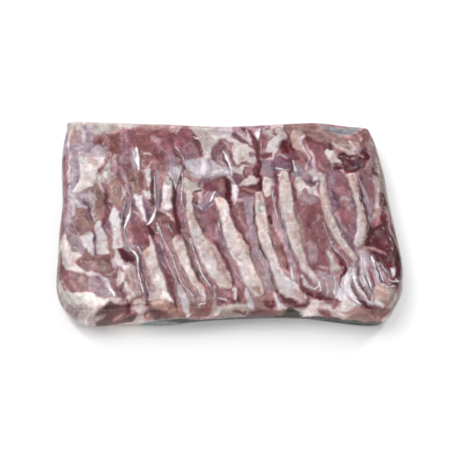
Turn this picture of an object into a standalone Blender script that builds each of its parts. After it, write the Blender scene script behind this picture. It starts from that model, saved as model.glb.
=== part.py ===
"""A frozen slab of bone-in pork belly, sealed tight in a clear vacuum bag, as one solid.

X runs along the slab, Y across it with the front cut at -Y, and Z up. The origin is at the
middle of the base. The belly lies rind down, with the ribs on top, and the film follows
every rib, hollow and edge, so the pack is one closed body with a flat base to rest on.
"""

import bmesh
import bpy
import numpy as np
from mathutils import Vector, noise

MM = 0.001

# Driving dimensions.
LENGTH = 0.468
WIDTH = 0.310
THICKNESS = 0.044
CELL = 0.0069  # spacing of the stations on the top face
SIDE_LEVELS = (0.11, 0.27, 0.45, 0.64, 0.82)  # heights of the side rows, as shares of the thickness

# The rounding of the cut edges: how far in and how far down it runs.
SHOULDER_IN = 0.020
SHOULDER_DOWN = 0.022
HEEL_IN = 0.012
HEEL_UP = 0.016
CORNER_SLOPE = 0.030  # extra shoulder where the fat of the front left corner slopes down
CORNER_CENTRE = (-0.205, -0.150)
CORNER_REACH = 0.055
SKIRTS = ((-0.150, -0.050), (0.115, 0.210))  # where the film drops straight to the table
SKIRT_HEEL = 0.003

RIB_HEIGHT = 0.0042
RIB_TIP = 0.010  # how fast a rib sinks into the meat at its ends
SPLINE_STEPS = 8

# The cut outline at its widest level, anticlockwise from the back left corner, in mm.
OUTLINE = [
    (-235, 145), (-235, 90), (-227, 20), (-225, -50), (-220, -106), (-205, -136), (-180, -151),
    (-130, -147), (-65, -147), (0, -143), (62, -140), (125, -141), (178, -147), (206, -144),
    (225, -118), (232, -91), (234, -62), (231, -20), (226, 25), (225, 62), (221, 100),
    (214, 135), (202, 148), (143, 157), (71, 155), (0, 151), (-74, 154), (-147, 156), (-226, 157),
]

# Each rib: its width and the line of its crest, from its back end to its front end, in mm.
RIBS = {
    "rib_1": (15, [(-128, -74), (-123, -100), (-115, -124)]),
    "rib_2": (19, [(-101, -46), (-92, -80), (-84, -100), (-76, -124)]),
    "rib_3": (14, [(-67, -40), (-59, -60), (-40, -100), (-30, -126)]),
    "rib_4": (20, [(-50, 14), (-45, -12), (-24, -62), (-8, -94), (2, -114)]),
    "rib_5": (21, [(-9, 26), (2, -2), (25, -65), (34, -95), (44, -122)]),
    "rib_6": (15, [(45, 34), (48, 0), (53, -37), (69, -92), (80, -114), (100, -127)]),
    "rib_7": (16, [(79, 66), (83, 20), (92, -42), (103, -74), (122, -106)]),
    "rib_8": (13, [(128, 66), (132, 30), (138, -5), (149, -40), (170, -78)]),
    "rib_9": (13, [(170, 66), (177, 32), (181, 0), (178, -30), (172, -56)]),
    "rib_10": (10, [(199, 84), (204, 45), (202, 15), (193, -12)]),
}

# Broad swells and hollows of the top: centre x and y, reach along x and y, and height, in mm.
SWELLS = {
    "flank_muscle": (-112, 108, 80, 32, 2.6),
    "flank_fat": (-192, 66, 24, 46, 2.2),
    "front_muscle": (-168, -76, 32, 18, 2.0),
    "middle_fat": (-30, 74, 26, 22, 1.6),
    "back_fat": (20, 104, 24, 26, 1.6),
    "right_lean": (115, -10, 16, 40, 1.2),
    "blood_hollow": (178, 84, 22, 18, -5.0),
    "back_notch": (164, 142, 26, 15, -6.0),
    "valley_by_rib_4": (-68, 20, 9, 34, -3.0),
    "valley_by_rib_2": (-118, -10, 14, 34, -1.6),
    "right_corner_fat": (200, -122, 18, 15, 2.4),
    "right_fold": (165, -112, 16, 22, -1.6),
}


def smooth_line(points, closed=False, steps=SPLINE_STEPS):
    """A Catmull-Rom curve through the points, sampled steps times between each two."""
    p = np.array(points, float) * MM
    if closed:
        p = np.vstack([p[-1:], p, p[:2]])
    else:
        p = np.vstack([2 * p[0] - p[1], p, 2 * p[-1] - p[-2]])
    t = np.linspace(0, 1, steps, endpoint=False)[:, None]
    spans = []
    for a, b, c, d in zip(p[:-3], p[1:-2], p[2:-1], p[3:]):
        spans.append(
            0.5 * (2 * b + (c - a) * t + (2 * a - 5 * b + 4 * c - d) * t**2
                   + (3 * b - a - 3 * c + d) * t**3)
        )
    if not closed:
        spans.append(p[-2:-1])
    return np.vstack(spans)


def outline_radius(angle):
    """How far the widest outline lies from the middle, in each direction."""
    ring = smooth_line(OUTLINE, closed=True)
    ring *= np.array([LENGTH, WIDTH]) / (ring.max(0) - ring.min(0))
    around = np.arctan2(ring[:, 1], ring[:, 0])
    order = np.argsort(around)
    return np.interp(
        angle, around[order], np.hypot(*ring[order].T), period=2 * np.pi
    )


def rib_relief(x, y):
    """How far the ribs lift the film above the valleys between them."""
    lift = np.zeros_like(x)
    for width, points in RIBS.values():
        line = smooth_line(points)
        gap = np.hypot(x[:, None] - line[:, 0], y[:, None] - line[:, 1])
        nearest = gap.argmin(1)
        across = np.clip(gap.min(1) / (0.8 * width * MM), 0, 1)
        along = np.hypot(*np.diff(line, axis=0).T).cumsum()
        run = np.concatenate([[0], along])[nearest]
        ends = np.minimum(run, along[-1] - run) / RIB_TIP
        crest = np.cos(across * np.pi / 2) ** 2 * np.clip(0.35 + ends, 0, 1)
        lift = np.maximum(lift, crest)
    return lift * RIB_HEIGHT


def swell_height(x, y):
    """The broad ups and downs of muscle, fat and hollows under the film."""
    height = np.zeros_like(x)
    for cx, cy, rx, ry, lift in SWELLS.values():
        away = ((x - cx * MM) / (rx * MM)) ** 2 + ((y - cy * MM) / (ry * MM)) ** 2
        height += lift * MM * np.exp(-away)
    return height


def uneven(points, size, seed):
    """Smooth unevenness from -1 to 1, with bumps of that size."""
    shift = Vector((seed, 2.3 * seed, -seed))
    return np.array([noise.noise(Vector(p) / size + shift) for p in points])


def shoulder_at(x, y):
    """How far in the rounding of the top edge runs: furthest at the sloping front left corner."""
    away = np.hypot(x - CORNER_CENTRE[0], y - CORNER_CENTRE[1]) / CORNER_REACH
    return SHOULDER_IN + CORNER_SLOPE * np.exp(-away**2)


def heel_at(x, y):
    """How far the base is set back under the widest level, apart from the straight skirts."""
    on_skirt = np.zeros_like(x)
    for start, end in SKIRTS:
        on_skirt += np.exp(-(((2 * x - start - end) / (end - start)) ** 4)) * (y < 0)
    return HEEL_IN + (SKIRT_HEEL - HEEL_IN) * on_skirt


def round_edge(inset, depth, reach, rise):
    """Puts points near a sharp edge onto an ellipse. Both distances are zero at the edge."""
    inward = np.clip((reach - inset) / reach, 0, 1)
    outward = np.clip((rise - depth) / rise, 0, 1)
    near = (inward > 0) & (outward > 0)
    size = np.where(near, np.hypot(inward, outward), 1)
    round_inset = np.where(near, reach * (1 - inward / size), inset)
    round_depth = np.where(near, rise * (1 - outward / size), depth)
    return round_inset, round_depth


def pack_form(block):
    """Turns points on a plain block into points on the pack. The block fills -1 to 1 and 0 to 1."""
    x, y = block[:, 0] * LENGTH / 2, block[:, 1] * WIDTH / 2
    square = np.maximum(abs(block[:, 0]), abs(block[:, 1]))
    angle = np.arctan2(y, x)
    to_block_side = np.hypot(x, y) / np.maximum(square, 1e-9)
    to_outline = outline_radius(angle)
    pull = 1 + (to_outline / to_block_side - 1) * square**3
    x, y = x * pull, y * pull
    inset = (1 - square) * to_outline
    z = block[:, 2] * THICKNESS
    new_inset, below_top = round_edge(inset, THICKNESS - z, shoulder_at(x, y), SHOULDER_DOWN)
    new_inset, z = round_edge(new_inset, THICKNESS - below_top, heel_at(x, y), HEEL_UP)
    keep = 1 - (new_inset - inset) / np.maximum(to_outline, 1e-9)
    x, y = x * keep, y * keep
    share = z / THICKNESS
    relief = swell_height(x, y) + rib_relief(x, y)
    place = np.column_stack([x, y, z])
    relief += 0.0014 * uneven(place, 0.055, 3.0) + 0.0008 * uneven(place, 0.021, 8.0)
    z = z + relief * share**1.5
    bulge = 0.0016 * uneven(place, 0.040, 5.0) * np.clip(4 * share * (1 - share), 0, 1) * square**6
    away = np.maximum(np.hypot(x, y), 1e-9)
    return np.column_stack([x * (1 + bulge / away), y * (1 + bulge / away), z])


def sliced_block():
    """A block cut into rows of cells along all three axes, with its base left in one piece."""
    bm = bmesh.new()
    bmesh.ops.create_cube(bm, size=2)
    bmesh.ops.translate(bm, verts=bm.verts, vec=(0, 0, 1))
    bmesh.ops.scale(bm, verts=bm.verts, vec=(1, 1, 0.5))
    stations = []
    for axis, size in ((0, LENGTH), (1, WIDTH)):
        cuts = round(size / CELL)
        stations += [(axis, -1 + 2 * i / cuts) for i in range(1, cuts)]
    stations += [(2, level) for level in SIDE_LEVELS]
    for axis, at in stations:
        normal = Vector((0, 0, 0))
        normal[axis] = 1
        bmesh.ops.bisect_plane(
            bm, geom=bm.verts[:] + bm.edges[:] + bm.faces[:], plane_co=normal * at, plane_no=normal
        )
    return bm


def merge_flat_base(bm):
    """Joins the flat cells of the base into one face."""
    flat = [f for f in bm.faces if f.normal.z < -0.9 and all(abs(v.co.z) < 1e-6 for v in f.verts)]
    bmesh.ops.dissolve_faces(bm, faces=flat, use_verts=True)


def film_material():
    """Clear bag over frozen meat: the pack's overall colour."""
    material = bpy.data.materials.new("sealed_pork")
    material.use_nodes = True
    shader = material.node_tree.nodes["Principled BSDF"]
    shader.inputs["Base Color"].default_value = (0.42, 0.21, 0.20, 1)
    shader.inputs["Roughness"].default_value = 0.25
    shader.inputs["Metallic"].default_value = 0.0
    return material


def make_pack(collection):
    """The sealed slab as one closed solid."""
    bm = sliced_block()
    place = pack_form(np.array([v.co for v in bm.verts]))
    middle = (place.max(0) + place.min(0)) / 2
    place -= np.array([middle[0], middle[1], 0])
    for vertex, point in zip(bm.verts, place):
        vertex.co = point
    bm.normal_update()
    merge_flat_base(bm)
    bmesh.ops.triangulate(bm, faces=bm.faces[:])
    mesh = bpy.data.meshes.new("belly_pack")
    bm.to_mesh(mesh)
    bm.free()
    mesh.shade_smooth()
    mesh.materials.append(film_material())
    pack = bpy.data.objects.new("belly_pack", mesh)
    collection.objects.link(pack)
    return pack


def main():
    for obj in list(bpy.data.objects):
        bpy.data.objects.remove(obj)
    collection = bpy.data.collections.new("frozen_pork_belly")
    bpy.context.scene.collection.children.link(collection)
    make_pack(collection)


main()
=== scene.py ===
"""Looks of a frozen slab of rib-on pork belly, sealed tight in a clear vacuum bag.

The slab lies rind down with its ribs on top. The meat and the film are shaped on one grid of
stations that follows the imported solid. What lies where on the cut faces, and how high, is laid
out below in millimetres, in the order in which it is painted: X along the slab and Y across it
on the top, and the way round the slab and the height on its sides.
"""

import math

import bmesh
import bpy
import numpy as np
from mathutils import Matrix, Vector, noise


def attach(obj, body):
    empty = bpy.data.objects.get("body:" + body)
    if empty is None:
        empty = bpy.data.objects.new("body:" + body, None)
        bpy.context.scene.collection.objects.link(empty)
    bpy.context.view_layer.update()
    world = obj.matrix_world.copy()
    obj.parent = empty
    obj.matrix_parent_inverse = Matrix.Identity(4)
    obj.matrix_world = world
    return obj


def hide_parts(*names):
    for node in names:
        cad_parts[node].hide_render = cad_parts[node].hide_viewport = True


MM = 0.001

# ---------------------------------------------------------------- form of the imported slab
LENGTH = 0.468
WIDTH = 0.310
THICKNESS = 0.044
SHOULDER_IN = 0.020
SHOULDER_DOWN = 0.022
HEEL_IN = 0.012
HEEL_UP = 0.016
CORNER_SLOPE = 0.030
CORNER_CENTRE = (-0.205, -0.150)
CORNER_REACH = 0.055
SKIRTS = ((-0.150, -0.050), (0.115, 0.210))
SKIRT_HEEL = 0.003
SPLINE_STEPS = 8
# Unevenness: how high it is, how broad its bumps are, and its place in the noise.
TOP_WAVES = ((0.0014, 0.055, 3.0), (0.0008, 0.021, 8.0))
SIDE_WAVE = (0.0016, 0.040, 5.0)
SIDE_SET_BACK = 0.001  # how far in the sides start, so that their relief stays inside the solid

# The cut outline at its widest level, anticlockwise from the back left corner, in mm.
OUTLINE = [
    (-235, 145), (-235, 90), (-227, 20), (-225, -50), (-220, -106), (-205, -136), (-180, -151),
    (-130, -147), (-65, -147), (0, -143), (62, -140), (125, -141), (178, -147), (206, -144),
    (225, -118), (232, -91), (234, -62), (231, -20), (226, 25), (225, 62), (221, 100),
    (214, 135), (202, 148), (143, 157), (71, 155), (0, 151), (-74, 154), (-147, 156), (-226, 157),
]

# Broad swells and hollows: centre x and y, reach along x and y, and height, in mm.
SWELLS = {
    "flank_muscle": (-112, 108, 80, 32, 2.6),
    "flank_fat": (-192, 66, 24, 46, 2.2),
    "front_muscle": (-168, -76, 32, 18, 2.0),
    "middle_fat": (-30, 74, 26, 22, 1.6),
    "back_fat": (20, 104, 24, 26, 1.6),
    "right_lean": (115, -10, 16, 40, 1.2),
    "blood_hollow": (178, 84, 22, 18, -5.0),
    "back_notch": (164, 142, 26, 15, -6.0),
    "valley_by_rib_4": (-68, 20, 9, 34, -3.0),
    "valley_by_rib_2": (-118, -10, 14, 34, -1.6),
    "right_corner_fat": (200, -122, 18, 15, 2.4),
    "right_fold": (165, -112, 16, 22, -1.6),
}

# ---------------------------------------------------------------- grid, film and folds
CELL = 0.0015  # spacing of the stations on the top face
SIDE_ROWS = 16  # rows of stations down the sides
BASE_RINGS = (0.992, 0.983, 0.973, 0.963, 0.952, 0.94, 0.925, 0.90)  # rings of stations below
RING_STEPS = 6  # samples between each two points of a patch's outline
OUTLINE_HALF = 4.0  # how far in from its outline a patch keeps rising, in mm
MEAT_INSET = 0.0002  # how far the meat's skin is set in under the film
BASE_FILM = 0.0006  # room under the meat for the film
FILM_GAP = 0.25  # how far the film stands off the meat, in mm
FILM_SPAN = 3.5  # the film spans what is narrower than twice this, in mm
FOLD_SUNK = 0.0003  # how deep a fold's foot lies in the film
FOLD_FULLNESS = 0.40  # a fold's breadth in mm is this times its listed width and height
FOLD_SIZES = {  # the distance between its sections, its height beside its width, and its points
    "Step": 0.0012, "Height": 0.7, "Sides": 7,
}

# ---------------------------------------------------------------- colours and patterns
NOISE_TABLE = 256  # the random table's rows and columns
NOISE_START = (40, 1)  # where in the table a chart starts
NOISE_GAIN = 1.8  # brings the unevenness to about -1 to 1
RAGGEDNESS = ((1.2, 9), (0.8, 4), (0.9, 2.3))  # of a patch's edge: how deep and how broad, in mm
FIBRE_TURN = math.radians(20)  # how far the ribs and the grain between them lean from Y
CREASE_TURN = math.radians(-50)  # how far the film's fine creases lean from Y
SHADE_SPREAD = 0.02  # how much patches of one tissue differ in brightness
BONE_LOOSENESS = 0.35  # how ragged a bone's edge is, beside a muscle's
FLAT_SOFTNESS = 2.4  # how much softer the edge is where a patch doesn't stand up
EDGE_BLEND = (30, 39)  # heights between which the top's chart takes over from the sides', in mm
RIND_BLEND = (0.8, 2.5)  # heights between which the sides take over from the underside, in mm
# What each kind of mark multiplies red, green and blue by.
PALE_STRINGS = (1.20, 1.30, 1.26)
DARK_CLEFTS = (0.76, 0.65, 0.70)
DEEP_CLOUDS = (0.86, 0.78, 0.80)
PALE_CLOUDS = (1.08, 1.10, 1.08)
FAT_STAINS = (0.93, 0.86, 0.85)
FAT_VEINS = (0.92, 0.88, 0.86)
FAT_CREAM = (1.04, 1.06, 1.07)
# How much of the shade in a hollow or at a fold's foot each of the three takes.
HOLLOW_SHADE = (0.9, 1.0, 0.95)
FOOT_SHADE = (0.80, 1.0, 0.86)
FAT_STAIN_TONE = (168, 138, 130)
FROST_TONE = (242, 236, 230)
BONE_FLECK_TONE = (158, 136, 124)
# FOLD_TONE: the folds' milky white, which also stands for painted highlights along their crests.
FOLD_TONE = (248, 240, 246)

# ---------------------------------------------------------------- studio
LIGHT_TARGET = (0, 0, 0.03)
LAMPS = (  # name, place, size and power
    ("key", (-0.5, 0.2, 1.4), (0.7, 0.7), 8),
    ("left_strip", (-0.85, 0.62, 0.95), (0.12, 1.2), 5),
    ("right_strip", (0.85, 0.62, 0.95), (0.12, 1.2), 6),
    ("back_strip", (0.0, 1.25, 0.75), (1.6, 0.12), 5),
    ("front_fill", (0.1, -1.4, 0.45), (1.4, 0.6), 9),
)
FLOOR_REACH = 6
FLOOR_DROP = 0.0004  # keeps the floor clear of the base
CAMERA_LENS = 60  # in mm, on a sensor 36 mm wide
CAMERA_HEIGHT = math.radians(60)  # the angle at which the camera looks down
CAMERA_DISTANCE = 1.02
CAMERA_TARGET = (0, -0.0105, 0.02)

# ---------------------------------------------------------------- what the cut faces show
# Each tissue: its colour in plain light, how fatty and how bony it is, and how softly it
# meets its neighbours, in mm. Some also stand for painted light and shade, as noted by them.
TISSUES = {
    "lean": ((169, 121, 129), 0, 0, 2.5),
    "red_lean": ((149, 97, 105), 0, 0, 2.5),
    "brown_lean": ((157, 113, 114), 0, 0, 2.5),
    "brick": ((138, 87, 88), 0, 0, 2.5),
    "rust": ((172, 130, 122), 0.1, 0, 2.5),
    "tan_lean": ((164, 131, 126), 0, 0, 2.5),
    "pale_lean": ((176, 133, 138), 0.2, 0, 3.0),
    "mauve_lean": ((157, 116, 127), 0, 0, 2.5),
    # dark_lean, blood, deep_lean, plum and umber: the meat's darkest reds and browns, also laid as
    # painted shade deep in valleys and at the feet of ribs and folds.
    "dark_lean": ((128, 70, 81), 0, 0, 2.5),
    "blood": ((92, 6, 24), 0, 0, 2.5),
    "dusk": ((141, 107, 125), 0, 0, 3.0),
    # membrane and the lilac tones: partly the meat's own purple, partly the film's painted sheen over
    # it, and on the ribs' crests a painted highlight.
    "membrane": ((178, 150, 158), 0.3, 0, 3.5),
    "lilac": ((168, 150, 162), 0.4, 0, 3.5),
    "pale_lilac": ((197, 182, 190), 0.6, 0, 3.0),
    "lilac_bone": ((219, 208, 213), 0.8, 0.3, 4.0),
    "rose": ((184, 145, 153), 0.4, 0, 2.5),
    "string": ((223, 203, 206), 1, 0, 1.6),
    # gleam is a painted highlight: the white of the film's glints, laid on as a tissue.
    "gleam": ((241, 235, 238), 1, 0, 1.6),
    "cream_fat": ((221, 210, 208), 1, 0, 2.0),
    # white_fat is also laid as a painted highlight at the ends of ribs 6 and 7.
    "white_fat": ((215, 208, 210), 1, 0, 2.0),
    "grey_fat": ((197, 187, 184), 1, 0, 3.0),
    "pink_fat": ((190, 171, 170), 0.8, 0, 3.0),
    "tan_fat": ((186, 147, 146), 0.8, 0, 3.0),
    "peach_fat": ((206, 181, 171), 1, 0, 2.5),
    "bone": ((221, 208, 205), 1, 1, 1.8),
    # tan_bone: the ribs' own tan at their ends and on the first and last rib, and painted shade on
    # their right flanks.
    "tan_bone": ((183, 157, 154), 0.9, 1, 3.0),
    # The brightest fat, also laid as a painted highlight on the pleats in the front right corner.
    "bright_fat": ((244, 238, 235), 1, 0, 2.5),
    "deep_lean": ((101, 30, 45), 0, 0, 2.5),
    "blush": ((201, 171, 179), 0.4, 0, 3.0),
    "brown": ((133, 96, 86), 0.1, 0, 3.0),
    "grey_brown": ((150, 133, 126), 0.4, 0, 3.0),
    # The near-black is painted shadow, low on the front under its edge.
    "soot": ((44, 36, 34), 0, 0, 3.0),
    "olive": ((145, 115, 105), 0.3, 0, 2.5),
    "umber": ((101, 61, 62), 0, 0, 2.5),
    "russet": ((117, 72, 69), 0, 0, 4.0),
    "plum": ((103, 75, 97), 0, 0, 3.0),
    "smoky_fat": ((166, 167, 169), 0.8, 0, 4.0),
    "rind": ((196, 168, 156), 1, 0, 3.0),
}

# The layers of the cut sides: the tissue, the heights in mm between which it lies, and how
# low the unevenness may be where the layer still shows.
SIDE_LAYERS = (
    ("rind", -9, 2.5, -9), ("tan_fat", 12.5, 19, -0.3), ("lean", 13.5, 18, -0.1),
    ("tan_fat", 23, 38, -0.7), ("brown_lean", 24.5, 36.5, -0.45), ("dark_lean", 28, 34, 0.1),
)
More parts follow.
